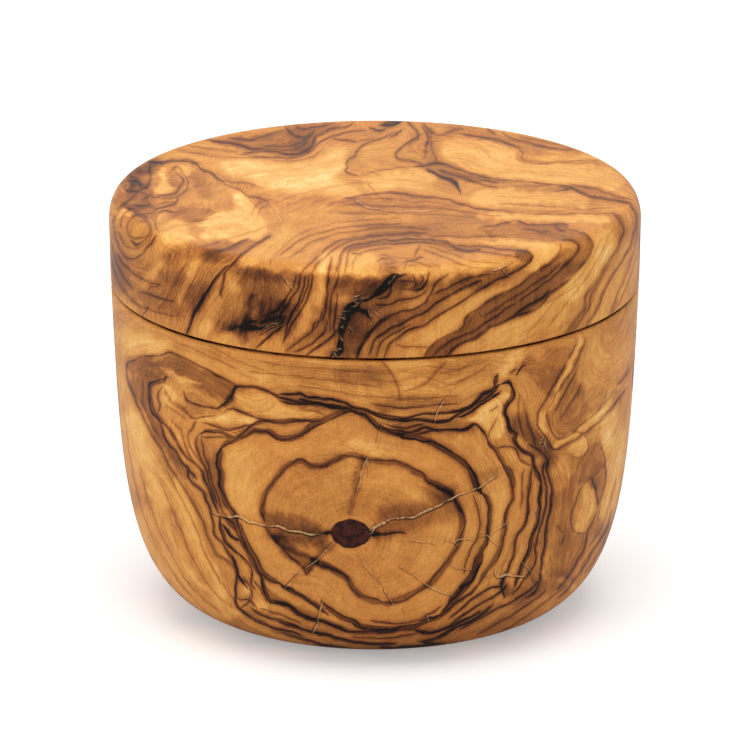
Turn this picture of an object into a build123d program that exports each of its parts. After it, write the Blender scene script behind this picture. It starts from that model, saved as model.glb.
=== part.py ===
from build123d import *
import os

# Turned wooden salt cellar with a lid that swivels sideways on a hidden pin.
# Millimetres, +Z up. The origin is the centre of the foot, on the table.
# The pin stands at the rear (+Y) and the magnets meet at the front (-Y).

# Lid
lid_diameter = 96.0
lid_thickness = 16.4
lid_side_taper = 0.2
lid_shoulder_width = 2.7
lid_shoulder_height = 4.5
lid_lower_edge_radius = 0.5

# Bowl
bowl_height = 60.4
rim_set_back = 0.2
rim_lean_angle = 2.4
rim_pull = 36.0
rim_edge_radius = 0.9
foot_set_in = 19.5
foot_rise_angle = 6.9
foot_pull = 17.9
rim_wall = 13.8
well_floor = 10.0
well_corner_radius = 14.0
well_mouth_radius = 1.0

# Gap between the bowl's rim and the lid, held open by the washer
seam_gap = 0.3

# Steel pin, glued into the bowl's wall and free to turn in the lid
pin_diameter = 5.0
pin_depth_in_bowl = 20.0
pin_reach_in_lid = 11.0
pin_end_chamfer = 0.5
pin_glue_gap = 0.02

# Brass bushing, pressed up into the lid
bushing_wall = 1.5
bushing_flange_width = 1.0
bushing_flange_thickness = 1.0
bushing_end_room = 1.0
bushing_press_gap = 0.02
running_clearance = 0.05

# Rubber ring in a groove round the pin, which keeps the lid on
ring_section = 1.0
ring_groove_depth = 0.7
ring_groove_room = 0.2
ring_height_in_lid = 7.0
ring_clearance = 0.1

# Nylon washer between the bowl's rim and the bushing's flange
washer_thickness = 0.8
washer_width = 2.3
washer_seat_clearance = 0.1

# Magnets, one in the bowl and one in the lid
magnet_diameter = 8.0
magnet_thickness = 3.0
magnet_pocket_gap = 0.05
magnet_edge_chamfer = 0.3

# Sizes and heights that follow
lid_radius = lid_diameter / 2
lid_base_radius = lid_radius - lid_side_taper
lid_base = bowl_height + seam_gap
lid_top = lid_base + lid_thickness
lid_shoulder = lid_top - lid_shoulder_height
lid_flat_radius = lid_radius - lid_shoulder_width
rim_radius = lid_radius - rim_set_back
foot_radius = rim_radius - foot_set_in
well_radius = rim_radius - rim_wall
well_corner_height = well_floor + well_corner_radius
wall_middle = well_radius + rim_wall / 2
pin_radius = pin_diameter / 2
bushing_bore_radius = pin_radius + running_clearance
bushing_radius = bushing_bore_radius + bushing_wall
flange_radius = bushing_radius + bushing_flange_width
bushing_length = pin_reach_in_lid + bushing_end_room
ring_radius = ring_section / 2
ring_path_radius = pin_radius - ring_groove_depth + pin_glue_gap + ring_radius
ring_height = lid_base + ring_height_in_lid
groove_width = ring_section + ring_groove_room
bushing_groove_radius = ring_path_radius + ring_radius + ring_clearance
washer_bore_radius = pin_radius + washer_seat_clearance
washer_radius = washer_bore_radius + washer_width
washer_seat = lid_base - washer_thickness
magnet_radius = magnet_diameter / 2

# The pin's axis and the magnets' axis
pin_spot = (0, wall_middle)
magnet_spot = (0, -wall_middle)
pin_axis = Axis((0, wall_middle, 0), (0, 0, 1))
pin_plane = Plane(origin=(0, wall_middle, 0), x_dir=(1, 0, 0), z_dir=(0, -1, 0))

os.makedirs("parts", exist_ok=True)

# Bowl: the outside is one smooth curve from the foot to the rim
with BuildPart() as bowl:
    with BuildSketch(Plane.XZ):
        with BuildLine():
            base = Line((0, 0), (foot_radius, 0))
            rise = PolarLine(base @ 1, foot_pull, foot_rise_angle, mode=Mode.PRIVATE)
            drop = PolarLine(
                (rim_radius, bowl_height), rim_pull, -90 - rim_lean_angle, mode=Mode.PRIVATE
            )
            side = Bezier(base @ 1, rise @ 1, drop @ 1, drop @ 0)
            rim = Line(side @ 1, (well_radius, bowl_height))
            wall = Line(rim @ 1, (well_radius, well_corner_height))
            corner = TangentArc(
                wall @ 1, (well_radius - well_corner_radius, well_floor), tangent=wall % 1
            )
            floor = Line(corner @ 1, (0, well_floor))
            Line(floor @ 1, base @ 0)
        make_face()
    revolve(axis=Axis.Z)
    fillet(bowl.edges().group_by(Axis.Z)[-1].sort_by(SortBy.RADIUS)[0], well_mouth_radius)
    fillet(bowl.edges().group_by(Axis.Z)[-1].sort_by(SortBy.RADIUS)[-1], rim_edge_radius)
    with BuildSketch(Plane.XY.offset(bowl_height)):
        with Locations(pin_spot):
            Circle(washer_radius + washer_seat_clearance)
    extrude(amount=washer_seat - bowl_height, mode=Mode.SUBTRACT)
    with BuildSketch(Plane.XY.offset(bowl_height)):
        with Locations(pin_spot):
            Circle(pin_radius + pin_glue_gap)
    extrude(amount=-pin_depth_in_bowl, mode=Mode.SUBTRACT)
    with BuildSketch(Plane.XY.offset(bowl_height)):
        with Locations(magnet_spot):
            Circle(magnet_radius + magnet_pocket_gap)
    extrude(amount=-magnet_thickness, mode=Mode.SUBTRACT)
bowl.part.label = "bowl"
export_step(bowl.part, "parts/bowl.step")

# Lid: a thick disc with a rounded shoulder and a flat underside
with BuildPart() as lid:
    with BuildSketch(Plane.XZ):
        with BuildLine():
            underside = Line((0, lid_base), (lid_base_radius, lid_base))
            edge = Line(underside @ 1, (lid_radius, lid_shoulder))
            shoulder = EllipticalCenterArc(
                (lid_flat_radius, lid_shoulder), lid_shoulder_width, lid_shoulder_height, arc_size=90
            )
            top = Line(shoulder @ 1, (0, lid_top))
            Line(top @ 1, underside @ 0)
        make_face()
    revolve(axis=Axis.Z)
    fillet(lid.edges().group_by(Axis.Z)[0].sort_by(SortBy.RADIUS)[-1], lid_lower_edge_radius)
    with BuildSketch(Plane.XY.offset(lid_base)):
        with Locations(pin_spot):
            Circle(flange_radius + bushing_press_gap)
    extrude(amount=bushing_flange_thickness, mode=Mode.SUBTRACT)
    with BuildSketch(Plane.XY.offset(lid_base)):
        with Locations(pin_spot):
            Circle(bushing_radius + bushing_press_gap)
    extrude(amount=bushing_length, mode=Mode.SUBTRACT)
    with BuildSketch(Plane.XY.offset(lid_base)):
        with Locations(magnet_spot):
            Circle(magnet_radius + magnet_pocket_gap)
    extrude(amount=magnet_thickness, mode=Mode.SUBTRACT)
lid.part.label = "lid"
export_step(lid.part, "parts/lid.step")

# Pin: a steel dowel with chamfered ends and a groove for the rubber ring
with BuildPart() as pivot_pin:
    with BuildSketch(Plane.XY.offset(bowl_height - pin_depth_in_bowl)):
        with Locations(pin_spot):
            Circle(pin_radius)
    extrude(amount=pin_depth_in_bowl + seam_gap + pin_reach_in_lid)
    chamfer(pivot_pin.edges().filter_by(GeomType.CIRCLE), pin_end_chamfer)
    with BuildSketch(Plane.XY.offset(ring_height - groove_width / 2)):
        with Locations(pin_spot):
            Circle(pin_diameter)
            Circle(pin_radius - ring_groove_depth, mode=Mode.SUBTRACT)
    extrude(amount=groove_width, mode=Mode.SUBTRACT)
pivot_pin.part.label = "pivot_pin"
export_step(pivot_pin.part, "parts/pivot_pin.step")

# Bushing: a brass sleeve whose flange lies flush with the lid's underside
with BuildPart() as lid_bushing:
    with BuildSketch(Plane.XY.offset(lid_base)):
        with Locations(pin_spot):
            Circle(bushing_radius)
    extrude(amount=bushing_length)
    with BuildSketch(Plane.XY.offset(lid_base)):
        with Locations(pin_spot):
            Circle(flange_radius)
    extrude(amount=bushing_flange_thickness)
    with BuildSketch(Plane.XY.offset(lid_base)):
        with Locations(pin_spot):
            Circle(bushing_bore_radius)
    extrude(amount=bushing_length, mode=Mode.SUBTRACT)
    with BuildSketch(Plane.XY.offset(ring_height - groove_width / 2)):
        with Locations(pin_spot):
            Circle(bushing_groove_radius)
    extrude(amount=groove_width, mode=Mode.SUBTRACT)
lid_bushing.part.label = "lid_bushing"
export_step(lid_bushing.part, "parts/lid_bushing.step")

# Rubber ring, stretched into the pin's groove
with BuildPart() as retaining_ring:
    with BuildSketch(pin_plane):
        with Locations((ring_path_radius, ring_height)):
            Circle(ring_radius)
    revolve(axis=pin_axis)
retaining_ring.part.label = "retaining_ring"
export_step(retaining_ring.part, "parts/retaining_ring.step")

# Washer: lies in its seat in the rim and carries the lid
with BuildPart() as spacer_washer:
    with BuildSketch(Plane.XY.offset(washer_seat)):
        with Locations(pin_spot):
            Circle(washer_radius)
            Circle(washer_bore_radius, mode=Mode.SUBTRACT)
    extrude(amount=washer_thickness)
spacer_washer.part.label = "spacer_washer"
export_step(spacer_washer.part, "parts/spacer_washer.step")

# Magnets: one flush with the rim, the other flush with the lid's underside
with BuildPart() as bowl_magnet:
    with BuildSketch(Plane.XY.offset(bowl_height)):
        with Locations(magnet_spot):
            Circle(magnet_radius)
    extrude(amount=-magnet_thickness)
    chamfer(bowl_magnet.edges().filter_by(GeomType.CIRCLE), magnet_edge_chamfer)
bowl_magnet.part.label = "bowl_magnet"
export_step(bowl_magnet.part, "parts/bowl_magnet.step")

with BuildPart() as lid_magnet:
    with BuildSketch(Plane.XY.offset(lid_base)):
        with Locations(magnet_spot):
            Circle(magnet_radius)
    extrude(amount=magnet_thickness)
    chamfer(lid_magnet.edges().filter_by(GeomType.CIRCLE), magnet_edge_chamfer)
lid_magnet.part.label = "lid_magnet"
export_step(lid_magnet.part, "parts/lid_magnet.step")
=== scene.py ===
from functools import reduce
from math import atan2, cos, pi, radians, sin

import bmesh
import bpy
import numpy as np
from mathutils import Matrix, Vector


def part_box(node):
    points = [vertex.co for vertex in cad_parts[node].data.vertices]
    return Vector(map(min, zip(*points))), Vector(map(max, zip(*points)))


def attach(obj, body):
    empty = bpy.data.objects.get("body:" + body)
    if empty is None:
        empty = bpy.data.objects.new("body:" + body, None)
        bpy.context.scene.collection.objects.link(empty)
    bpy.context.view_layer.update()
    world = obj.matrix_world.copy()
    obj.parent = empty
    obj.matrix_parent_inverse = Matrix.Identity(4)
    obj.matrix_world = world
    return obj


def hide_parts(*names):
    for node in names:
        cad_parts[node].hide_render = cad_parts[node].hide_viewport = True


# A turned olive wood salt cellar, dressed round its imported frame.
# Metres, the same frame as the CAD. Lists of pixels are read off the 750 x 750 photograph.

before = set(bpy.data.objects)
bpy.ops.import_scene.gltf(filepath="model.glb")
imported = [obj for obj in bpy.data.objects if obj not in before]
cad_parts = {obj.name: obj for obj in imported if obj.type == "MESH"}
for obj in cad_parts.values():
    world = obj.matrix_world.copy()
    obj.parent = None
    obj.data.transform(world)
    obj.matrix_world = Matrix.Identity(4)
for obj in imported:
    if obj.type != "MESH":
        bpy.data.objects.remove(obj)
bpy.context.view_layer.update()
mm = 0.001
print("frame loaded:", ", ".join(sorted(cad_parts)))

# camera, at the photograph's viewing angle

viewpoint = {
    "distance": 1.412,        # metres
    "pitch": 18.06,           # degrees downwards
    "lookHeight": 0.0422,
    "lens": 373.0,
    "sensor": 36.0,
    "nearest": 0.05,
    "furthest": 20,
    "photoSize": 750,         # pixels
}
pitch = radians(viewpoint["pitch"])
ahead = np.array([0, cos(pitch), -sin(pitch)])
upward = np.array([0, sin(pitch), cos(pitch)])
eye = np.array([0, 0, viewpoint["lookHeight"]]) - viewpoint["distance"] * ahead
pixelsPerUnit = viewpoint["lens"] / viewpoint["sensor"] * viewpoint["photoSize"]


def makeCamera():
    lens = bpy.data.cameras.new("camera")
    lens.lens = viewpoint["lens"]
    lens.sensor_width = viewpoint["sensor"]
    lens.clip_start = viewpoint["nearest"]
    lens.clip_end = viewpoint["furthest"]
    camera = bpy.data.objects.new("camera", lens)
    camera.location = eye
    camera.rotation_euler = (pi / 2 - pitch, 0, 0)
    bpy.context.scene.collection.objects.link(camera)
    bpy.context.scene.camera = camera


def toPhoto(points):
    # where points in metres show in the photograph, in its pixels
    away = points - eye
    depth = away @ ahead
    middle = viewpoint["photoSize"] / 2
    across = middle + pixelsPerUnit * away[:, 0] / depth
    down = middle - pixelsPerUnit * (away @ upward) / depth
    return np.stack([across, down], axis=1)


# outlines of the turned pieces, as (radius, height) in millimetres

_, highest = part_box("bowl")
lidLowest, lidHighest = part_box("lid")
pinLowest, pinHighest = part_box("pivot_pin")
washerLowest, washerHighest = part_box("spacer_washer")
flangeLowest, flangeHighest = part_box("lid_bushing")
magnetLowest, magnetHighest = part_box("bowl_magnet")

bowlShape = {
    "rimRadius": highest.x / mm,
    "height": highest.z / mm,
    "footSetIn": 19.5,
    "footPull": 17.9,
    "footRiseAngle": 6.9,
    "rimPull": 36.0,
    "rimLeanAngle": 2.4,
    "rimEdgeRadius": 0.9,
    "rimWall": 13.8,
    "wellFloor": 10.0,
    "wellCornerRadius": 14.0,
    "wellMouthRadius": 1.0,
    "curvePoints": 2000,
    "rings": {"foot": 12, "side": 152, "edge": 5, "rim": 9, "mouth": 5, "wall": 15, "corner": 12, "floor": 8},
}
lidShape = {
    "radius": lidHighest.x / mm,
    "base": lidLowest.z / mm,
    "top": lidHighest.z / mm,
    "sideTaper": 0.2,
    "shoulderWidth": 2.7,
    "shoulderHeight": 4.5,
    "lowerEdgeRadius": 0.5,
    "rings": {"base": 22, "lowerEdge": 4, "side": 32, "shoulder": 18, "top": 80},
}
turning = {
    "steps": 440,
    "crowding": 0.5,          # how much closer the steps stand at the front
    "merge": 0.003,
    "sharpAngle": 35,
}
fitting = {
    "pinGap": 0.02,
    "washerGap": 0.1,
    "magnetGap": 0.05,
    "flangeWidth": 1.0,
    "flangeThickness": 1.0,
    "cutterRise": 2.0,
    "cutterSides": 96,
}


def run(start, end, count):
    # evenly spaced points from start to end, without the first
    start, end = np.array(start, float), np.array(end, float)
    return [tuple(start + (end - start) * k / count) for k in range(1, count + 1)]


def bend(centre, reach, startAngle, endAngle, count):
    # points on an arc, or part of an ellipse, without the first
    reach = (reach, reach) if isinstance(reach, float) else reach
    angles = [radians(startAngle + (endAngle - startAngle) * k / count) for k in range(1, count + 1)]
    return [(centre[0] + reach[0] * cos(a), centre[1] + reach[1] * sin(a)) for a in angles]


def bowlOutline(shape):
    rim, height, rings = shape["rimRadius"], shape["height"], shape["rings"]
    foot = rim - shape["footSetIn"]
    well = rim - shape["rimWall"]
    rise, lean = radians(shape["footRiseAngle"]), radians(shape["rimLeanAngle"])
    edge, mouth, corner = shape["rimEdgeRadius"], shape["wellMouthRadius"], shape["wellCornerRadius"]
    pulls = np.array([
        (foot, 0),
        (foot + shape["footPull"] * cos(rise), shape["footPull"] * sin(rise)),
        (rim - shape["rimPull"] * sin(lean), height - shape["rimPull"] * cos(lean)),
        (rim, height),
    ])
    share = np.linspace(0, 1, shape["curvePoints"])[:, None]
    weights = ((1 - share) ** 3, 3 * share * (1 - share) ** 2, 3 * share**2 * (1 - share), share**3)
    side = sum(weight * pull for weight, pull in zip(weights, pulls))
    side = side[side[:, 1] < height - edge]
    length = np.concatenate([[0], np.cumsum(np.hypot(*np.diff(side, axis=0).T))])
    even = np.linspace(0, length[-1], rings["side"])
    side = [(np.interp(s, length, side[:, 0]), np.interp(s, length, side[:, 1])) for s in even]
    rimCentre = (side[-1][0] - edge, height - edge)
    floor = shape["wellFloor"]
    outline = [(0, 0)] + run((0, 0), side[0], rings["foot"]) + side[1:]
    outline += bend(rimCentre, edge, 0, 90, rings["edge"])
    outline += run(outline[-1], (well + mouth, height), rings["rim"])
    outline += bend((well + mouth, height - mouth), mouth, 90, 180, rings["mouth"])
    outline += run(outline[-1], (well, floor + corner), rings["wall"])
    outline += bend((well - corner, floor + corner), corner, 0, -90, rings["corner"])
    return outline + run(outline[-1], (0, floor), rings["floor"])


def lidOutline(shape):
    base, top, rings = shape["base"], shape["top"], shape["rings"]
    shoulder = top - shape["shoulderHeight"]
    flat = shape["radius"] - shape["shoulderWidth"]
    lower = shape["lowerEdgeRadius"]
    edge = shape["radius"] - shape["sideTaper"]
    outline = [(0, base)] + run((0, base), (edge - lower, base), rings["base"])
    outline += bend((edge - lower, base + lower), lower, -90, 0, rings["lowerEdge"])
    outline += run(outline[-1], (shape["radius"], shoulder), rings["side"])
    reach = (shape["shoulderWidth"], shape["shoulderHeight"])
    outline += bend((flat, shoulder), reach, 0, 90, rings["shoulder"])
    return outline + run((flat, top), (0, top), rings["top"])


def evaluated(piece):
    # the mesh that a piece's modifiers make
    bpy.context.view_layer.update()
    shaped = piece.evaluated_get(bpy.context.evaluated_depsgraph_get())
    return bpy.data.meshes.new_from_object(shaped)


def turn(name, outline):
    # an outline turned once round the upright axis, with more steps on the side that the photo shows
    shape = bmesh.new()
    corners = [shape.verts.new((r * mm, 0, z * mm)) for r, z in outline]
    for pair in zip(corners, corners[1:]):
        shape.edges.new(pair)
    mesh = bpy.data.meshes.new(name)
    shape.to_mesh(mesh)
    piece = bpy.data.objects.new(name, mesh)
    bpy.context.scene.collection.objects.link(piece)
    screw = piece.modifiers.new("turning", "SCREW")
    screw.steps = turning["steps"]
    screw.render_steps = turning["steps"]
    screw.use_merge_vertices = True
    screw.merge_threshold = turning["merge"] * mm
    turned = evaluated(piece)
    piece.modifiers.clear()
    shape.clear()
    shape.from_mesh(turned)
    for vertex in shape.verts:
        radius = vertex.co.xy.length
        bearing = atan2(vertex.co.x, -vertex.co.y)
        bearing -= turning["crowding"] * sin(bearing)
        vertex.co.xy = (radius * sin(bearing), -radius * cos(bearing))
    bmesh.ops.recalc_face_normals(shape, faces=shape.faces)
    shape.to_mesh(mesh)
    shape.free()
    return piece


def cutHoles(piece, holes):
    # bores and pockets: each hole is its centre, its mouth's height and its (radius, end height) steps
    cutter = bmesh.new()
    for (x, y), mouth, steps in holes:
        outline = [(0, mouth)]
        for radius, depth in steps:
            outline += [(radius, outline[-1][1]), (radius, depth)]
        outline.append((0, outline[-1][1]))
        corners = [cutter.verts.new((x + radius, y, height)) for radius, height in outline]
        lines = [cutter.edges.new(pair) for pair in zip(corners, corners[1:])]
        bmesh.ops.spin(
            cutter, geom=corners + lines, cent=(x, y, 0), axis=(0, 0, 1), angle=2 * pi,
            steps=fitting["cutterSides"], use_merge=True,
        )
    bmesh.ops.remove_doubles(cutter, verts=cutter.verts, dist=turning["merge"] * mm)
    bmesh.ops.recalc_face_normals(cutter, faces=cutter.faces)
    mesh = bpy.data.meshes.new("cutter")
    cutter.to_mesh(mesh)
    cutter.free()
    tool = bpy.data.objects.new("cutter", mesh)
    bpy.context.scene.collection.objects.link(tool)
    cut = piece.modifiers.new("holes", "BOOLEAN")
    cut.operation = "DIFFERENCE"
    cut.solver = "EXACT"
    cut.object = tool
    piece.data = evaluated(piece)
    piece.modifiers.clear()
    bpy.data.objects.remove(tool)
    piece.data.name = piece.name
    piece.data.shade_smooth()
    piece.data.set_sharp_from_angle(angle=radians(turning["sharpAngle"]))
    print(piece.name, "has", sum(len(face.vertices) - 2 for face in piece.data.polygons), "triangles")


# the wood figure that the photograph shows
# A vein is (width in pixels, darkness, pixels along it), and its growth level where it follows one.
# A growth level is about the millimetres of wood grown since the heart, and steers the fine grain.

bowlVeins = [
    # hood
    (2.2, 0.6, [(126,372), (127,363), (134,360), (142,356), (151,356), (160,356), (168,352), (174,354),
        (190,361), (210,371), (228,381), (240,387)], 35),
    (3.4, 0.75, [(232,386), (240,387), (252,387), (262,389), (270,393), (280,397), (290,400), (300,402),
        (312,404)], 35),
    (2.8, 0.52, [(126,372), (128,380), (135,398), (146,424), (160,447), (172,472), (186,490), (197,510),
        (204,524), (207,534), (211,542), (217,555), (227,560), (236,571), (238,582)], 35),
    # hook
    (4.4, 0.78, [(166,378), (163,381), (157,382), (151,384), (149,390), (150,398), (151,405), (154,412),
        (159,418), (165,424)], 33),
    (2.8, 0.68, [(160,419), (163,429), (165,438), (170,446), (176,450), (179,457), (183,463), (188,469),
        (188,476), (193,483), (200,488), (204,494), (206,501), (210,508), (212,516), (214,524), (214,532),
        (217,538), (222,542), (226,549), (230,556), (234,563), (237,573)], 32),
    (5.0, 0.85, [(190,472), (193,475), (195,478)]),
    (3.0, 0.68, [(165,424), (170,430), (174,437), (178,445), (183,452), (189,458), (196,465), (202,472),
        (205,480), (208,488), (211,496), (214,504), (218,512)], 30),
    (1.8, 0.65, [(161,388), (158,393), (159,400), (161,405), (159,412)]),
    # hood fold
    (2.6, 0.65, [(184,393), (186,398), (190,402), (197,405), (204,407), (212,408), (219,409)]),
    # fork
    (3.6, 0.9, [(240,387), (235,388), (231,395), (226,399)]),
    (4.0, 0.9, [(219,408), (226,403), (231,399), (233,392)]),
    # island
    (2.2, 0.75, [(228,410), (232,409), (240,412), (250,416), (260,419), (270,420), (280,421), (292,420),
        (304,420), (316,421), (326,419)], 31),
    (2.8, 0.7, [(206,423), (214,425), (222,428), (231,429), (240,427), (252,425)]),
    # ribbon
    (3.2, 0.8, [(200,434), (205,431), (213,431), (222,432), (230,436), (239,438)], 28),
    (2.0, 0.6, [(202,437), (212,437), (222,437), (234,439)]),
    (3.4, 0.85, [(236,438), (244,432), (252,426), (260,422), (268,421), (280,423), (290,422), (300,421),
        (312,421), (325,420)], 28),
    # left flow
    (2.6, 0.62, [(197,437), (196,443), (197,450), (200,457), (203,464), (206,472), (209,482), (213,492),
        (217,503)], 29),
    (2.0, 0.55, [(181,430), (183,440), (187,449), (191,457), (196,464), (202,471)]),
    (1.8, 0.55, [(190,431), (188,438), (190,446), (194,453), (199,459), (203,466)]),
    (2.0, 0.55, [(208,460), (210,470), (213,485), (218,497), (222,510), (226,518)], 27),
    (1.8, 0.6, [(201,438), (202,446), (204,454), (207,462), (209,470), (210,478)]),
    (1.4, 0.5, [(176,403), (183,409), (189,415), (194,418), (204,417), (214,416)]),
    (2.4, 0.6, [(197,420), (194,426), (190,432)]),
    # ring
    (5.8, 0.8, [(222,448), (227,443), (236,439), (245,435), (253,431), (260,431), (268,431), (275,435),
        (281,438), (290,438), (297,436), (304,432), (312,426), (320,422), (328,418), (336,415), (344,412),
        (352,411)], 24),
    (6.0, 0.9, [(352,411), (360,413), (367,417), (373,422), (379,427), (386,431), (395,434), (405,436),
        (415,437), (425,440), (435,444), (445,450), (455,456), (462,461), (468,468), (473,476), (478,485),
        (482,492)], 24),
    (8.6, 1.0, [(469,469), (473,477), (477,486), (481,492)]),
    (4.6, 0.85, [(482,492), (486,497), (489,505), (490,515), (489,525), (488,535), (486,543), (482,549),
        (480,556), (478,563), (475,570), (472,576), (468,583), (462,590), (458,596), (451,602), (445,610),
        (440,615)], 24),
    (7.5, 1.0, [(482,550), (479,559), (475,569), (470,579), (463,588), (456,597), (448,605)]),
    (4.8, 0.9, [(440,615), (432,619), (424,622), (415,626), (405,628), (392,629), (380,629), (370,628),
        (361,626), (355,622), (349,620), (340,616), (334,612), (327,607), (322,602)], 24),
    (6.0, 0.85, [(222,448), (220,455), (219,463), (221,470), (222,478), (221,486), (223,494), (226,501),
        (230,508), (234,514), (236,524), (239,532), (241,539), (246,546), (250,554), (253,560), (257,567),
        (261,574), (266,577), (272,580), (280,584)], 24),
    (4.6, 0.9, [(280,584), (285,588), (292,591), (300,595), (309,600), (316,605), (321,610), (327,614)], 24),
    (6.0, 1.0, [(283,587), (288,590)]),
    (2.4, 0.8, [(240,524), (245,536), (250,546), (256,556), (261,567), (266,575)]),
    (1.8, 0.65, [(474,496), (476,505), (479,515), (480,525), (476,540), (472,547), (469,555), (466,562),
        (464,572)]),
    (2.0, 0.7, [(372,621), (385,623), (398,624), (410,622), (422,618), (432,613), (441,606)]),
    # cap
    (2.6, 0.85, [(280,394), (290,394), (300,394), (307,397), (313,398), (324,399), (335,400), (345,403),
        (352,407), (360,408), (370,411), (380,414), (392,416), (402,418), (410,417), (418,415), (427,413),
        (436,413), (445,413), (460,410)], 32),
    (2.6, 0.8, [(280,401), (290,403), (300,404), (311,404), (322,404), (330,407), (340,408), (352,409)], 30),
    (3.6, 0.9, [(300,399), (310,402), (322,404), (334,406), (346,408)]),
    (3.2, 0.9, [(362,410), (372,413), (382,417), (392,419), (402,420), (415,420), (428,420), (436,422),
        (445,421), (452,418), (458,414), (464,411), (470,409), (475,404), (480,399)], 29),
    (3.0, 0.85, [(383,428), (391,430), (400,431), (410,432), (418,430), (424,427), (431,429), (438,430),
        (448,430), (458,430), (466,430), (473,426)], 27),
    (2.6, 0.8, [(390,433), (401,434), (412,435), (422,433), (432,431)]),
    (2.0, 0.7, [(385,424), (395,427), (405,428), (415,426), (423,424)]),
    (1.6, 0.5, [(300,408), (308,410), (316,411), (326,416)]),
    (2.0, 0.55, [(372,404), (390,407), (408,408), (424,406), (440,405), (456,404)]),
    # ring inner
    (5.6, 0.7, [(264,520), (262,513), (262,505), (264,497), (267,490), (272,484), (277,477), (283,469),
        (290,464), (302,461), (310,465), (320,466), (330,463), (337,459), (345,456), (352,455), (360,457),
        (370,460), (380,461), (390,462), (399,463), (408,467), (415,472), (423,475), (430,481), (437,484),
        (444,488), (451,492), (453,497)], 16),
    (5.6, 0.72, [(453,497), (457,503), (461,511), (463,520), (462,530), (460,538), (457,546), (453,553),
        (449,560), (444,567), (438,575), (431,582), (423,588), (414,593), (405,598), (396,601), (388,603),
        (380,603)], 16),
    (6.4, 0.72, [(380,602), (372,600), (364,597), (357,593), (352,587), (348,581), (343,576), (336,571),
        (328,567), (320,564), (313,560)], 16),
    (8.0, 0.75, [(438,487), (445,490), (452,495)]),
    # wedge
    (5.0, 0.5, [(266,527), (271,535), (278,543), (286,549), (295,552), (304,555), (314,560)], 16),
    (2.6, 0.55, [(268,530), (276,541), (285,551), (293,559), (301,566), (308,572)]),
    (8.0, 1.0, [(313,560), (317,562)]),
    (2.4, 0.8, [(304,570), (307,574), (310,571)]),
    # pith
    (4.0, 1.0, [(321,533), (327,533), (334,533), (345,533), (354,534)]),
    (5.5, 1.0, [(366,533), (374,534), (380,534)]),
    (2.2, 0.8, [(376,535), (385,534), (394,533), (404,533)]),
    # crotch
    (4.2, 1.0, [(452,413), (460,411), (466,409), (472,406), (477,400), (482,394), (488,391), (494,388),
        (499,385)]),
    (3.2, 0.95, [(458,417), (470,413), (480,405), (490,399), (500,392)]),
    (5.0, 0.9, [(474,406), (482,400), (490,394), (497,389)]),
    (5.5, 1.0, [(497,375), (496,380), (495,386)]),
    (4.5, 1.0, [(503,384), (509,382), (512,387)]),
    # branch
    (4.2, 0.9, [(512,384), (513,392), (511,400), (506,405), (504,412), (507,418), (508,426), (511,431),
        (516,434), (514,439), (516,444), (521,450), (527,453), (533,457), (533,462), (535,468), (538,476),
        (541,483)]),
    (4.0, 0.9, [(541,483), (540,492), (539,500), (539,510), (538,518), (536,526), (533,534), (531,540),
        (530,548), (527,555), (524,562), (521,570), (518,578), (514,586)], 34),
    # pit
    (3.0, 0.95, [(511,372), (515,369)]),
    (2.6, 0.9, [(517,374), (521,368), (524,365)]),
    (3.0, 0.9, [(492,411), (497,407)]),
    # ring third
    (2.8, 0.8, [(460,430), (468,427), (475,424), (480,427), (484,432), (487,440)], 28),
    (4.2, 0.75, [(487,440), (491,446), (497,451), (500,457), (504,464), (507,472), (510,480), (512,488),
        (513,498), (510,505), (507,512), (505,520), (504,530), (502,540), (500,548), (497,555), (493,562),
        (488,568), (484,574), (478,585)], 29),
    (7.0, 0.85, [(504,464), (509,472), (512,481), (513,490)]),
    (3.2, 0.85, [(478,585), (472,591), (466,597), (458,602), (450,608), (440,617)], 28),
    # spur
    (1.6, 0.6, [(488,436), (490,431), (494,425), (497,418)]),
    (1.8, 0.65, [(497,449), (505,447), (514,448), (518,453), (520,459), (527,464), (533,466)]),
    # flank
    (3.0, 0.8, [(532,468), (530,480), (529,490), (528,500), (528,510), (526,520), (522,528), (517,535),
        (515,543), (515,550), (510,563), (508,570), (503,580), (501,586), (504,596)], 32),
    (2.8, 0.75, [(549,458), (547,468), (549,480), (552,488), (552,497), (551,507), (549,515), (547,525),
        (546,540), (544,550), (542,560), (541,570), (540,580), (536,590), (528,597)], 37),
    (2.0, 0.7, [(545,462), (543,474), (546,486), (547,498), (545,510), (542,522), (538,536), (535,550)]),
    (2.2, 0.7, [(534,545), (536,556), (533,566), (528,574), (522,583), (514,592)]),
    (1.6, 0.55, [(524,470), (522,482), (523,496), (521,508)]),
    # sash
    (1.7, 0.6, [(576,344), (570,356), (564,368), (558,378), (550,392), (543,404), (538,414), (537,424),
        (541,431), (546,437), (550,445), (556,450), (563,446), (575,440), (586,432), (597,424), (608,412),
        (617,401), (626,388)], 42),
    (1.5, 0.5, [(586,340), (581,352), (575,366), (566,378), (559,390), (551,404), (546,416), (550,427),
        (556,437), (561,439), (570,434), (582,425), (592,416), (604,403), (614,391), (622,380),
        (630,368)], 44),
    # east slope
    (1.8, 0.55, [(601,444), (604,455), (605,467), (606,480), (603,490), (600,502), (598,520)]),
    (2.0, 0.6, [(592,478), (595,490), (597,500), (597,510), (594,520), (589,528), (587,535), (586,545),
        (583,552), (578,560), (572,570), (566,580), (556,590)], 44),
    (1.8, 0.6, [(612,510), (608,525), (600,540), (593,550), (586,562), (580,572), (570,586), (558,598)], 47),
    (1.4, 0.5, [(616,480), (611,500), (606,516), (600,530), (590,545)]),
    (1.4, 0.45, [(624,470), (620,495), (614,518), (606,538), (596,556), (584,574)], 50),
    # eye
    (1.6, 0.5, [(573,430), (583,434), (588,442), (587,452), (580,458), (573,457)]),
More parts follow.
